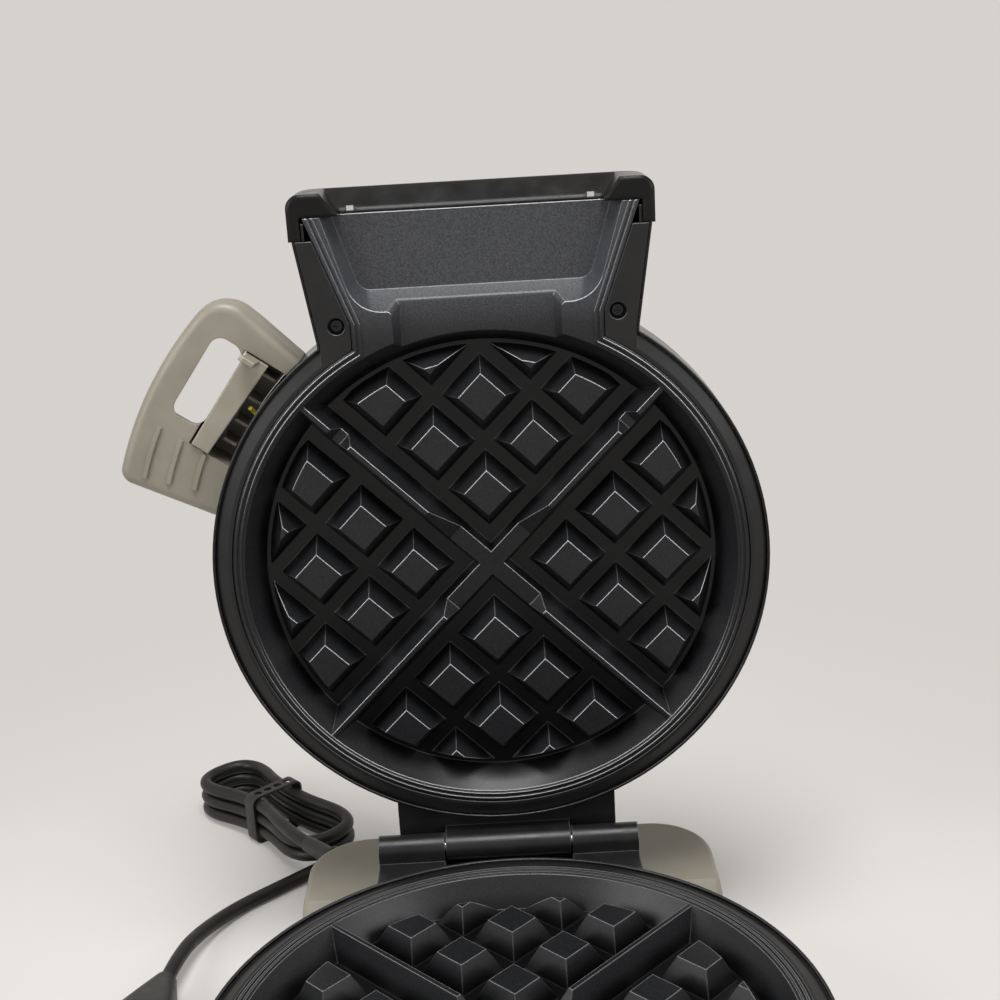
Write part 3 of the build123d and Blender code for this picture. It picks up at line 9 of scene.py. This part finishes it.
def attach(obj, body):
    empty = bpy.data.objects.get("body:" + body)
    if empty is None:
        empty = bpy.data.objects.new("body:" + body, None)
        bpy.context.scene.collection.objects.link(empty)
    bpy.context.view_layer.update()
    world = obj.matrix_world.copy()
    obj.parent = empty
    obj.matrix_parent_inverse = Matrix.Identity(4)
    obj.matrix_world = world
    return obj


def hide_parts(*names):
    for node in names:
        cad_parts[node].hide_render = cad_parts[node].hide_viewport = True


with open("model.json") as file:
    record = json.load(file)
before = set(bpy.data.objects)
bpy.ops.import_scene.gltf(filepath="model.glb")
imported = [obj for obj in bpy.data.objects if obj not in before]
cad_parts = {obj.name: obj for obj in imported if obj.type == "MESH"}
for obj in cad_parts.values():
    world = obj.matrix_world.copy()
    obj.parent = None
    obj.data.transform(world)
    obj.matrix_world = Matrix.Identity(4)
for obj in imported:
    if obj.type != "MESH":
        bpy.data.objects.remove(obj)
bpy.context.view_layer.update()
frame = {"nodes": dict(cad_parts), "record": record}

# Everything is in metres in the machine's own frame: the origin lies on the table between the
# feet, +Z is up and +Y is the back. The machine stands open, its lid folded down toward -Y.
# The picture is taken from in front and a little above, with the camera tilted to one side.
disc_height = 0.186             # middle of the standing grid plate above the table
aim_across, aim_above_disc = 0.004946, 0.029929
camera_distance = 0.608353
camera_rise = radians(16.937)
camera_swing = radians(0.107)
camera_roll = radians(-3.318)
camera_lens = 53.39             # for a sensor 36 mm wide
camera_aim = Vector((aim_across, 0.0, disc_height + aim_above_disc))
toward_camera = Vector((
    sin(camera_swing) * cos(camera_rise), -cos(camera_swing) * cos(camera_rise), sin(camera_rise),
))
level = Vector((cos(camera_swing), sin(camera_swing), 0))
upward = toward_camera.cross(level)
camera_right = level * cos(camera_roll) + upward * sin(camera_roll)
camera_up = upward * cos(camera_roll) - level * sin(camera_roll)
camera = bpy.data.objects.new("camera", bpy.data.cameras.new("camera"))
bpy.context.scene.collection.objects.link(camera)
camera.data.lens = camera_lens
camera.data.clip_start = 0.01
camera.matrix_world = Matrix.Translation(camera_aim + toward_camera * camera_distance) @ Matrix(
    (camera_right, camera_up, toward_camera)
).transposed().to_4x4()
bpy.context.scene.camera = camera
bpy.context.scene.view_settings.view_transform = "Standard"

# Room light: a pale room all round, a broad window light in front on each side and a strong
# soft one above, which brightens all that looks up.
room_colour = (0.672, 0.640, 0.612)
room_strength = 0.40            # of the light that the room throws
room_as_seen = 1.0              # of the room itself, as the camera sees it
window_lights = [               # name, place, width and watts
    ("light_left", (-1.05, -0.65, 0.66), 0.75, 7.5),
    ("light_right", (1.05, -0.75, 0.62), 0.75, 5.5),
    ("light_above", (0.0, -0.35, 1.35), 0.6, 15.0),
]
room = bpy.data.worlds.new("room")
room.use_nodes = True
bpy.context.scene.world = room
room_nodes = room.node_tree.nodes
background = room_nodes["Background"]
background.inputs["Color"].default_value = (*room_colour, 1)
room_level = room_nodes.new("ShaderNodeMapRange")
room_level.inputs["To Min"].default_value = room_strength
room_level.inputs["To Max"].default_value = room_as_seen


def looked_at(tree):
    """1 where the camera looks, straight or by way of gloss or a lens, and 0 for other light."""
    ray = tree.nodes.new("ShaderNodeLightPath")
    total = ray.outputs["Is Camera Ray"]
    for kind in ("Is Glossy Ray", "Is Transmission Ray"):
        either = tree.nodes.new("ShaderNodeMath")
        either.operation = "MAXIMUM"
        tree.links.new(total, either.inputs[0])
        tree.links.new(ray.outputs[kind], either.inputs[1])
        total = either.outputs["Value"]
    return total


room.node_tree.links.new(looked_at(room.node_tree), room_level.inputs["Value"])
room.node_tree.links.new(room_level.outputs["Result"], background.inputs["Strength"])
for light_name, place, width, power in window_lights:
    lamp = bpy.data.objects.new(light_name, bpy.data.lights.new(light_name, "AREA"))
    bpy.context.scene.collection.objects.link(lamp)
    lamp.data.shape = "SQUARE"
    lamp.data.size = width
    lamp.data.energy = power
    lamp.location = place
    lamp.rotation_euler = (camera_aim - Vector(place)).to_track_quat("-Z", "Y").to_euler()


# Table: a plain pale top without an edge. Its tone runs into the pale room's not far behind
# the machine, so no line parts the two.
def new_finish(name, colour, roughness, metallic=0.0):
    """A surface whose plain values are set, before any grain is added to it."""
    finish = bpy.data.materials.new(name)
    finish.use_nodes = True
    shader = finish.node_tree.nodes["Principled BSDF"]
    shader.inputs["Base Color"].default_value = (*colour, 1)
    shader.inputs["Roughness"].default_value = roughness
    shader.inputs["Metallic"].default_value = metallic
    return finish


def grain(finish, size, detail=2.0, stretch=(1, 1, 1)):
    """Uneven grain of a given size in metres, fixed to the piece. Gives the socket of its value."""
    nodes, links = finish.node_tree.nodes, finish.node_tree.links
    place = nodes.new("ShaderNodeTexCoord")
    fit = nodes.new("ShaderNodeMapping")
    fit.inputs["Scale"].default_value = [1 / (size * along) for along in stretch]
    noise = nodes.new("ShaderNodeTexNoise")
    noise.inputs["Scale"].default_value = 1.0
    noise.inputs["Detail"].default_value = detail
    links.new(place.outputs["Object"], fit.inputs["Vector"])
    links.new(fit.outputs["Vector"], noise.inputs["Vector"])
    return noise.outputs["Fac"]


def shade(finish, value, dark, light):
    """Colours the surface from dark to light as the grain's value rises."""
    dark_until, light_from = 0.35, 0.65
    nodes, links = finish.node_tree.nodes, finish.node_tree.links
    ramp = nodes.new("ShaderNodeValToRGB")
    ramp.color_ramp.elements[0].position = dark_until
    ramp.color_ramp.elements[0].color = (*dark, 1)
    ramp.color_ramp.elements[1].position = light_from
    ramp.color_ramp.elements[1].color = (*light, 1)
    links.new(value, ramp.inputs["Fac"])
    links.new(ramp.outputs["Color"], nodes["Principled BSDF"].inputs["Base Color"])


def part_of_way(finish, value, start, end, at_start=0.0, at_end=1.0):
    """Runs from at_start to at_end while a value goes from start to end."""
    nodes, links = finish.node_tree.nodes, finish.node_tree.links
    part = nodes.new("ShaderNodeMapRange")
    part.interpolation_type = "SMOOTHSTEP"
    part.inputs["From Min"].default_value = start
    part.inputs["From Max"].default_value = end
    part.inputs["To Min"].default_value = at_start
    part.inputs["To Max"].default_value = at_end
    links.new(value, part.inputs["Value"])
    return part.outputs["Result"]


def product(finish, one, other):
    """One value times another."""
    nodes, links = finish.node_tree.nodes, finish.node_tree.links
    times = nodes.new("ShaderNodeMath")
    times.operation = "MULTIPLY"
    links.new(one, times.inputs[0])
    links.new(other, times.inputs[1])
    return times.outputs["Value"]


table_radius = 4.0
table_sides = 96
table_patches = 0.35            # size of its faint darker and lighter patches
table_dark, table_light = (0.71, 0.695, 0.67), (0.74, 0.725, 0.70)
table_fade = (0.05, 0.55)       # where its tone runs into the room's, from the origin
table = bpy.data.objects.new("table", bpy.data.meshes.new("table"))
bpy.context.scene.collection.objects.link(table)
top = bmesh.new()
bmesh.ops.create_circle(top, cap_ends=True, radius=table_radius, segments=table_sides)
top.to_mesh(table.data)
top.free()
table_finish = new_finish("table_top", colour=(0.72, 0.705, 0.68), roughness=0.75)
shade(table_finish, grain(table_finish, table_patches, detail=3), table_dark, table_light)
table_nodes, table_links = table_finish.node_tree.nodes, table_finish.node_tree.links
table_place = table_nodes.new("ShaderNodeTexCoord")
table_reach = table_nodes.new("ShaderNodeVectorMath")
table_reach.operation = "LENGTH"
table_glow = table_nodes.new("ShaderNodeEmission")
table_glow.inputs["Color"].default_value = (*room_colour, 1)
table_mix = table_nodes.new("ShaderNodeMixShader")
table_links.new(table_place.outputs["Object"], table_reach.inputs[0])
table_blend = part_of_way(table_finish, table_reach.outputs["Value"], *table_fade)
table_part = product(table_finish, table_blend, looked_at(table_finish.node_tree))
table_links.new(table_part, table_mix.inputs["Fac"])
table_links.new(table_nodes["Principled BSDF"].outputs["BSDF"], table_mix.inputs[1])
table_links.new(table_glow.outputs["Emission"], table_mix.inputs[2])
table_links.new(table_mix.outputs["Shader"], table_nodes["Material Output"].inputs["Surface"])
table.data.materials.append(table_finish)

# Supply cord: a round black lead moulded in soft rubber. It leaves the base at the back left
# corner, is folded into a hank of three turns and ends in a plug that lies on the table.
cord_thickness = 0.0066
cord_heading = radians(131.7)   # the way it leaves the base
corner_middle = Vector((-0.066, 0.030, 0))      # middle of the base's rounded corner
relief_tip_reach = 0.050        # from there to the strain relief's tip
first_layer = 0.0034            # the lowest turn's middle line above the table
layer_step = 0.0072             # from one turn to the next
hank_layers = 3
cord_height = first_layer + hank_layers * layer_step
hank_near, hank_far = 0.008, 0.112
hank_width = 0.041
waist_along = 0.060             # where the tie draws the hank in
waist_inset, waist_lift = 0.0125, 0.0018
entry_run = 0.016               # straight out of the strain relief
tail_points = [                 # from the lowest turn to the plug
    (0.008, 0.014, 0.0034), (0.008, 0.039, 0.0034), (-0.0009, 0.0634, 0.0064),
    (-0.0158, 0.0835, 0.0111), (-0.0293, 0.0982, 0.0111),
]
along_hank = Vector((cos(cord_heading), sin(cord_heading), 0))
across_hank = Vector((-sin(cord_heading), cos(cord_heading), 0))
hank_origin = corner_middle + along_hank * relief_tip_reach


def beside_base(along, across, height):
    """A point of the hank: along and across it from the strain relief's tip, above the table."""
    return hank_origin + along_hank * along + across_hank * across + Vector((0, 0, height))


cord_route = [(0, 0, cord_height), (entry_run, 0, cord_height)]
for layer in reversed(range(hank_layers)):
    low = first_layer + layer * layer_step
    cord_route += [
        (waist_along, -waist_inset, low + layer_step / 2), (hank_far, 0, low),
        (hank_far, -hank_width, low), (waist_along, waist_inset - hank_width, low + waist_lift),
        (hank_near, -hank_width, low), (hank_near, 0, low),
    ]
cord_route = cord_route[:-1] + tail_points


def round_lead(name, thickness, places):
    """A round lead drawn as one smooth line through the space between its places."""
    line = bpy.data.curves.new(name, "CURVE")
    line.dimensions = "3D"
    line.resolution_u = 16
    line.bevel_depth = thickness / 2
    line.bevel_resolution = 6
    line.use_fill_caps = True
    spline = line.splines.new("NURBS")
    spline.points.add(len(places) - 1)
    for point, place in zip(spline.points, places):
        point.co = (*place, 1)
    spline.order_u = 3
    spline.use_endpoint_u = True
    lead = bpy.data.objects.new(name, line)
    bpy.context.scene.collection.objects.link(lead)
    return lead


def dull(finish, value, smooth, rough):
    """Lets the roughness wander from smooth to rough as the grain's value rises."""
    smooth_until, rough_from = 0.3, 0.7
    nodes, links = finish.node_tree.nodes, finish.node_tree.links
    spread = nodes.new("ShaderNodeMapRange")
    spread.inputs["From Min"].default_value = smooth_until
    spread.inputs["From Max"].default_value = rough_from
    spread.inputs["To Min"].default_value = smooth
    spread.inputs["To Max"].default_value = rough
    links.new(value, spread.inputs["Value"])
    links.new(spread.outputs["Result"], nodes["Principled BSDF"].inputs["Roughness"])


def relief(finish, value, height, edge=0.0):
    """Raises the surface with the grain by height, in metres, and rounds its edges to edge."""
    nodes, links = finish.node_tree.nodes, finish.node_tree.links
    bump = nodes.new("ShaderNodeBump")
    bump.inputs["Distance"].default_value = height
    links.new(value, bump.inputs["Height"])
    if edge:
        rounded = nodes.new("ShaderNodeBevel")
        rounded.samples = 6
        rounded.inputs["Radius"].default_value = edge
        links.new(rounded.outputs["Normal"], bump.inputs["Normal"])
    links.new(bump.outputs["Normal"], nodes["Principled BSDF"].inputs["Normal"])


def soft_rubber(name, colour, roughness):
    """Black rubber with a faint bloom and the fine matt skin of a moulding."""
    bloom_size, dull_size, skin_size, skin_height = 0.012, 0.006, 0.0006, 0.00002
    bloom = tuple(1.6 * part for part in colour)
    finish = new_finish(name, colour, roughness)
    shade(finish, grain(finish, bloom_size, detail=4), colour, bloom)
    dull(finish, grain(finish, dull_size), roughness - 0.06, roughness + 0.1)
    relief(finish, grain(finish, skin_size), skin_height)
    return finish


supply_cord = round_lead("supply_cord", cord_thickness, [beside_base(*spot) for spot in cord_route])
cord_rubber = soft_rubber("cord_rubber", colour=(0.0052, 0.0050, 0.0048), roughness=0.42)
cord_rubber.node_tree.nodes["Principled BSDF"].inputs["Specular IOR Level"].default_value = 0.36
supply_cord.data.materials.append(cord_rubber)
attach(supply_cord, "stand")
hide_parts("cord_hank", "cord_tail")

# Cord tie: a flat ladder strap of soft rubber round the hank's waist, with a row of oval holes
# along its top into which its button goes.
body_of_node = {
    node: body for body, nodes in frame["record"]["behaviour"]["bodies"].items() for node in nodes
}


def copied(node, finish):
    """A loose copy of a CAD piece with its seams closed, to be reshaped."""
    seam_gap, flat_turn = 2e-6, radians(0.5)
    mesh = frame["nodes"][node].data.copy()
    mesh.materials.clear()
    mesh.materials.append(finish)
    form = bmesh.new()
    form.from_mesh(mesh)
    bmesh.ops.remove_doubles(form, verts=form.verts, dist=seam_gap)
    bmesh.ops.dissolve_limit(form, angle_limit=flat_turn, verts=form.verts, edges=form.edges)
    form.to_mesh(mesh)
    form.free()
    piece = bpy.data.objects.new(node + "_copy", mesh)
    bpy.context.scene.collection.objects.link(piece)
    return piece


def round_edges(piece, width, steps, crease):
    """Rounds the edges that turn by more than the crease angle."""
    edges = piece.modifiers.new("edges", "BEVEL")
    edges.width = width
    edges.segments = steps
    edges.limit_method = "ANGLE"
    edges.angle_limit = crease


def reshaped(piece, node, name, crease):
    """The copy as its modifiers leave it, which stands for the CAD piece from here on."""
    seen = piece.evaluated_get(bpy.context.evaluated_depsgraph_get())
    mesh = bpy.data.meshes.new_from_object(seen)
    bpy.data.objects.remove(piece)
    mesh.name = name
    mesh.shade_smooth()
    mesh.set_sharp_from_angle(angle=crease)
    result = bpy.data.objects.new(name, mesh)
    bpy.context.scene.collection.objects.link(result)
    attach(result, body_of_node[node])
    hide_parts(node)
    return result


strap_middle = -0.0202          # across the hank
strap_top = 0.0266
strap_crease = radians(40)
hole_steps = (-0.009, -0.003, 0.003, 0.009)
hole_size = (0.0034, 0.0044, 0.0030)            # along the hank, across it and down
strap_rubber = soft_rubber("strap_rubber", colour=(0.0092, 0.0089, 0.0085), roughness=0.5)
punch = bmesh.new()
for step in hole_steps:
    hole_place = Matrix.Translation(beside_base(waist_along, strap_middle + step, strap_top))
    bmesh.ops.create_cone(
        punch, cap_ends=True, segments=32, radius1=0.5, radius2=0.5, depth=1,
        matrix=hole_place @ Matrix.Rotation(cord_heading, 4, "Z") @ Matrix.Diagonal((*hole_size, 1)),
    )
punches = bpy.data.objects.new("punches", bpy.data.meshes.new("punches"))
bpy.context.scene.collection.objects.link(punches)
punch.to_mesh(punches.data)
punch.free()
solid_strap = copied("cord_tie", strap_rubber)
punching = solid_strap.modifiers.new("holes", "BOOLEAN")
punching.operation = "DIFFERENCE"
punching.solver = "EXACT"
punching.object = punches
round_edges(solid_strap, width=0.0002, steps=2, crease=strap_crease)
ladder_strap = reshaped(solid_strap, "cord_tie", "ladder_strap", strap_crease)
bpy.data.objects.remove(punches)


# Plug: a rubber moulding on the cord's end, with two flat blades and a round earth pin of
# brass. At the cord's other end a tapered rubber sleeve leads it into the base.
def worn_metal(name, colour, roughness, gloss, spot, detail=3, stretch=(1, 1, 1), metallic=1.0):
    """Metal whose roughness wanders between the two values of gloss in spots of a given size."""
    finish = new_finish(name, colour, roughness, metallic)
    dull(finish, grain(finish, spot, detail, stretch), *gloss)
    return finish


def dress(finish, *nodes):
    """Gives CAD pieces their finish."""
    for node in nodes:
        for part in frame["nodes"][node].material_slots:
            part.material = finish


plug_crease = radians(50)
plug_rubber = soft_rubber("plug_rubber", colour=(0.012, 0.0118, 0.0116), roughness=0.46)
square_plug = copied("plug", plug_rubber)
round_edges(square_plug, width=0.0012, steps=3, crease=plug_crease)
plug = reshaped(square_plug, "plug", "rounded_plug", plug_crease)
blade_brass = worn_metal(
    "blade_brass", colour=(0.78, 0.68, 0.45), roughness=0.28, gloss=(0.2, 0.38), spot=0.004,
    stretch=(1, 6, 1),
)
dress(blade_brass, "plug_blades")
relief_rubber = soft_rubber("relief_rubber", colour=(0.012, 0.0118, 0.0116), roughness=0.48)
dress(relief_rubber, "strain_relief")


# Base housing: a hollow moulding in champagne grey with a satin skin. Its top steps down from
# the neck's seat to a low apron in front.
def satin_plastic(name, dark, light, roughness, edge=0.0006, glint=0.5):
    """Moulded plastic: nearly even colour, a fine etched skin and slightly uneven gloss."""
    tone_size, dull_size, skin_size, skin_height = 0.018, 0.009, 0.0007, 0.000012
    finish = new_finish(name, dark, roughness)
    finish.node_tree.nodes["Principled BSDF"].inputs["Specular IOR Level"].default_value = glint
    shade(finish, grain(finish, tone_size, detail=5), dark, light)
    dull(finish, grain(finish, dull_size, detail=3), roughness - 0.05, roughness + 0.07)
    relief(finish, grain(finish, skin_size), skin_height, edge)
    return finish


champagne = satin_plastic(
    "champagne_plastic", dark=(0.208, 0.190, 0.150), light=(0.240, 0.220, 0.176), roughness=0.40,
)
dress(champagne, "base_housing")

# Base cover: a flat black plate that closes the base from below. Four plated screws hold it,
# and rubber feet are pressed into it.
# Painted edge highlights: light is added to the colour where a rounded edge looks up.
edge_turn = (0.995, 0.95)       # cosine of rounded to flat surface, from no painted highlight to full
edge_upward = (0.08, 0.35)      # how far up the edge looks, likewise
edge_outward = (0.62, 0.78)     # how far outward it looks, where that counts
edge_open = (0.80, 0.95)        # share of open air round it
# share of the painted highlight left in corners and on edges that face sideways
highlight_in_corners, highlight_sideways = 0.12, 0.10
air_reach = 4                   # times the edge's radius


def dot(finish, direction, vector):
    """How far a direction socket points along another socket or a fixed vector."""
    nodes, links = finish.node_tree.nodes, finish.node_tree.links
    turn = nodes.new("ShaderNodeVectorMath")
    turn.operation = "DOT_PRODUCT"
    links.new(direction, turn.inputs[0])
    if isinstance(vector, tuple):
        turn.inputs[1].default_value = vector
    else:
        links.new(vector, turn.inputs[1])
    return turn.outputs["Value"]


def paint_edge_highlights(finish, edge, light, outward=None):
    """Adds painted highlights to the colour along outer edges that look upward.

    With an outward direction, only edges that also face that way are as bright.
    """
    nodes, links = finish.node_tree.nodes, finish.node_tree.links
    rounded = nodes.new("ShaderNodeBevel")
    rounded.samples = 8
    rounded.inputs["Radius"].default_value = edge
    skin = nodes.new("ShaderNodeNewGeometry")
    open_air = nodes.new("ShaderNodeAmbientOcclusion")
    open_air.samples = 8
    open_air.only_local = True
    open_air.inputs["Distance"].default_value = air_reach * edge
    facing = rounded.outputs["Normal"]
    turned = part_of_way(finish, dot(finish, facing, skin.outputs["Normal"]), *edge_turn)
    amount = product(finish, turned, part_of_way(finish, dot(finish, facing, (0, 0, 1)), *edge_upward))
    in_open = part_of_way(finish, open_air.outputs["AO"], *edge_open, highlight_in_corners)
    amount = product(finish, amount, in_open)
    if outward:
        faces_out = part_of_way(finish, dot(finish, facing, outward), *edge_outward, highlight_sideways)
        amount = product(finish, amount, faces_out)
    lighter = nodes.new("ShaderNodeVectorMath")
    lighter.operation = "MULTIPLY_ADD"
    lighter.inputs[0].default_value = light
    colour = nodes["Principled BSDF"].inputs["Base Color"]
    links.new(amount, lighter.inputs[1])
    links.new(colour.links[0].from_socket, lighter.inputs[2])
    links.new(lighter.outputs["Vector"], colour)


black_satin = satin_plastic(
    "black_satin_plastic", dark=(0.0085, 0.0083, 0.0085), light=(0.012, 0.0118, 0.012),
    roughness=0.34, glint=0.32,
)
# Painted highlights along its upward-looking edges.
paint_edge_highlights(black_satin, edge=0.0006, light=(0.11, 0.11, 0.112))
dress(black_satin, "base_cover")
foot_rubber = soft_rubber("foot_rubber", colour=(0.014, 0.014, 0.014), roughness=0.6)
dress(foot_rubber, "feet")
plated_steel = worn_metal(
    "plated_steel", colour=(0.50, 0.49, 0.47), roughness=0.3, gloss=(0.24, 0.42), spot=0.0015,
)
dress(plated_steel, "base_screws")

# Browning control: a glossy black knob on the apron turns a rotary control below it, which
# sits on a small circuit board. A red lens on each side of the knob shows power and heat.
black_gloss = satin_plastic(
    "black_gloss_plastic", dark=(0.0040, 0.0038, 0.0040), light=(0.0055, 0.0053, 0.0055),
    roughness=0.22, edge=0.0012, glint=0.35,
)
# Painted highlights along its upward-looking edges.
paint_edge_highlights(black_gloss, edge=0.0007, light=(0.06, 0.06, 0.061))
dress(black_gloss, "knob")
dress(black_satin, "rotary_control")
circuit_board = satin_plastic(
    "circuit_board", dark=(0.02, 0.09, 0.04), light=(0.025, 0.12, 0.05), roughness=0.4,
)
dress(circuit_board, "control_board")
lens_plastic = satin_plastic(
    "lens_plastic", dark=(0.70, 0.29, 0.10), light=(0.78, 0.34, 0.13), roughness=0.14,
)
lens_plastic.node_tree.nodes["Principled BSDF"].inputs["Transmission Weight"].default_value = 0.6
dress(lens_plastic, "light_lenses")

# Wiring: the mains come to a glazed terminal block in the base. A rubber lead and wires in
# woven sleeves go on through the neck to the heating elements.
glazed = satin_plastic(
    "glazed_ceramic", dark=(0.52, 0.48, 0.40), light=(0.60, 0.56, 0.48), roughness=0.3,
)
dress(glazed, "terminal_block")
wire_sleeve = satin_plastic(
    "wire_sleeve", dark=(0.50, 0.45, 0.33), light=(0.60, 0.55, 0.42), roughness=0.7,
)
dress(wire_sleeve, "element_wires")
dress(cord_rubber, "inner_lead")

# Neck and hinge: the black neck carries the standing half and the hinge pin. The folding half
# turns on it with two ears, screwed on, whose bronze bushes run on the pin.
dress(black_satin, "neck", "hinge_ears")
bronze = worn_metal(
    "bronze", colour=(0.42, 0.28, 0.14), roughness=0.35, gloss=(0.3, 0.45), spot=0.001,
)
dress(bronze, "hinge_bushes")
dress(plated_steel, "hinge_pin", "hinge_screws", "neck_screws")

# Grid plates: two aluminium castings with a charcoal nonstick coating, each a round grid of
# studs with a filling funnel on top. A sheen in the funnel, highlights on the edges and
# shade down in the channels are painted into the coating's colour.
hinge_height = 0.058
stud_tops, channel_floors = 0.004, 0.0125       # below the parting plane
channel_shade = 0.22            # painted shade: share of the coating's colour left down in the channels
funnel_start, funnel_full = 0.092, 0.120        # above the disc's middle
funnel_sheen = 3.6           # painted sheen: times the coating's colour up in the funnel


def scaled(finish, factor):
    """Scales the colour by a value."""
    nodes, links = finish.node_tree.nodes, finish.node_tree.links
    colour = nodes["Principled BSDF"].inputs["Base Color"]
    change = nodes.new("ShaderNodeVectorMath")
    change.operation = "SCALE"
    links.new(colour.links[0].from_socket, change.inputs[0])
    links.new(factor, change.inputs["Scale"])
    links.new(change.outputs["Vector"], colour)


def nonstick(name, into, face, rise, middle, edge_highlight):
    """Charcoal nonstick coating: painted shade down in the channels, painted sheen in the funnel.

    The plate's parting plane lies at face along the axis into the plate, and its disc's middle
    lies at middle along the axis that rises to the funnel.
    """
    finish = new_finish(name, colour=(0.011, 0.0114, 0.0125), roughness=0.3)
    nodes, links = finish.node_tree.nodes, finish.node_tree.links
    nodes["Principled BSDF"].inputs["Specular IOR Level"].default_value = 0.3
    speckle = grain(finish, 0.0007, detail=3)
    shade(finish, speckle, dark=(0.0085, 0.0089, 0.0100), light=(0.0170, 0.0177, 0.0195))
    place = nodes.new("ShaderNodeTexCoord").outputs["Object"]
    depth, height = dot(finish, place, into), dot(finish, place, rise)
    # Painted sheen: up in the funnel the colour is made paler.
    in_funnel = part_of_way(finish, height, middle + funnel_start, middle + funnel_full)
    scaled(finish, part_of_way(finish, in_funnel, 0.0, 1.0, 1.0, funnel_sheen))
    # Painted highlights along upward-looking edges that face out of the plate.
    paint_edge_highlights(finish, 0.0006, edge_highlight, tuple(-part for part in into))
    # Painted shade: darker down in the channels between the studs, not in the funnel.
    raised = nodes.new("ShaderNodeMath")
    raised.operation = "MAXIMUM"
    links.new(part_of_way(finish, depth, face + channel_floors, face + stud_tops), raised.inputs[0])
    links.new(in_funnel, raised.inputs[1])
    scaled(finish, part_of_way(finish, raised.outputs["Value"], 0.0, 1.0, channel_shade, 1.0))
    dull(finish, grain(finish, 0.02, detail=3), smooth=0.27, rough=0.34)
    relief(finish, grain(finish, 0.0011), height=0.000008, edge=0.0007)
    return finish


rear_coating = nonstick(
    "rear_coating", into=(0, 1, 0), face=0.0, rise=(0, 0, 1), middle=disc_height,
    edge_highlight=(0.72, 0.73, 0.74),
)
front_coating = nonstick(
    "front_coating", into=(0, 0, -1), face=-hinge_height, rise=(0, -1, 0),
    middle=disc_height - hinge_height, edge_highlight=(0.20, 0.203, 0.206),
)
dress(rear_coating, "rear_plate")
dress(front_coating, "front_plate")


# Bezels and shells: a satin black ring round each plate with a flank beside the funnel, held
# by two blackened screws, and behind it the glossy black shell of each half.
def dress_pairs(finish, *pieces):
    """Gives the rear and the front one of each pair of pieces their finish."""
    for piece in pieces:
        dress(finish, "rear_" + piece, "front_" + piece)


dress_pairs(black_satin, "bezel")
blackened_steel = worn_metal(
    "blackened_steel", colour=(0.03, 0.03, 0.031), roughness=0.3, gloss=(0.22, 0.4), spot=0.0012,
    metallic=0.8,
)
dress_pairs(blackened_steel, "bezel_screws")
dress_pairs(black_gloss, "shell")

# Collars: a glossy black cap round each half of the funnel's mouth, with well rounded corners.
# Two small bright clips snap through its front.
collar_gloss = satin_plastic(
    "collar_gloss", dark=(0.0026, 0.0025, 0.0026), light=(0.0036, 0.0034, 0.0036),
    roughness=0.22, edge=0.003, glint=0.26,
)
dress_pairs(collar_gloss, "collar")
bright_clip = worn_metal(
    "bright_clip", colour=(0.8, 0.79, 0.77), roughness=0.16, gloss=(0.12, 0.25), spot=0.001, detail=2,
)
dress_pairs(bright_clip, "collar_clips")

# Covers and heating: a brushed steel disc on each half's back. Inside, a tubular element lies
# against the casting, with a steel reflector behind it, a thermostat and one thermal fuse.
brushed_steel = worn_metal(
    "brushed_steel", colour=(0.56, 0.55, 0.54), roughness=0.3, gloss=(0.22, 0.42), spot=0.0006,
    detail=2, stretch=(60, 1, 1),
)
relief(brushed_steel, grain(brushed_steel, 0.0005, stretch=(80, 1, 1)), height=0.00001)
dress_pairs(brushed_steel, "cover", "reflector")
heated_steel = new_finish("heated_steel", colour=(0.33, 0.31, 0.29), roughness=0.4, metallic=1.0)
heat_tint = grain(heated_steel, 0.02, detail=3)
shade(heated_steel, heat_tint, dark=(0.28, 0.24, 0.20), light=(0.40, 0.38, 0.36))
dress_pairs(heated_steel, "element")
dress_pairs(plated_steel, "reflector_screws")
dress_pairs(glazed, "thermostat")
dress(glazed, "thermal_fuse")

# Handle and latch: each half carries one half of the champagne handle. The squeeze lever lies
# in the rear one's pocket on a rusted pin and spring, and catches the front one's striker.
dress_pairs(champagne, "handle")
dress_pairs(plated_steel, "handle_screws")
bar_plastic = satin_plastic(
    "bar_plastic", dark=(0.235, 0.216, 0.170), light=(0.28, 0.260, 0.208), roughness=0.42,
    edge=0.001,
)
# Painted highlights along its upward-looking edges.
paint_edge_highlights(bar_plastic, edge=0.0008, light=(0.22, 0.21, 0.18))
dress(bar_plastic, "latch_lever")
browned_steel = new_finish("browned_steel", colour=(0.20, 0.11, 0.06), roughness=0.5, metallic=0.7)
rust = grain(browned_steel, 0.0015, detail=4)
shade(browned_steel, rust, dark=(0.10, 0.045, 0.02), light=(0.42, 0.30, 0.20))
dress(browned_steel, "latch_pin", "latch_spring")
dress(plated_steel, "striker_plate")

# Earth wire: its end in a yellow and green sleeve, which comes out of the rear shell into the
# latch pocket.
wire_thickness = 0.0018
wire_route = [(-0.0922, 0.0112, 0.2546), (-0.0940, 0.0108, 0.2572), (-0.0946, 0.0088, 0.2584)]
earth_wire_end = round_lead("earth_wire_end", wire_thickness, wire_route)
earth_sleeve = satin_plastic(
    "earth_sleeve", dark=(0.10, 0.16, 0.01), light=(0.42, 0.36, 0.02), roughness=0.5,
)
earth_wire_end.data.materials.append(earth_sleeve)
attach(earth_wire_end, "stand")
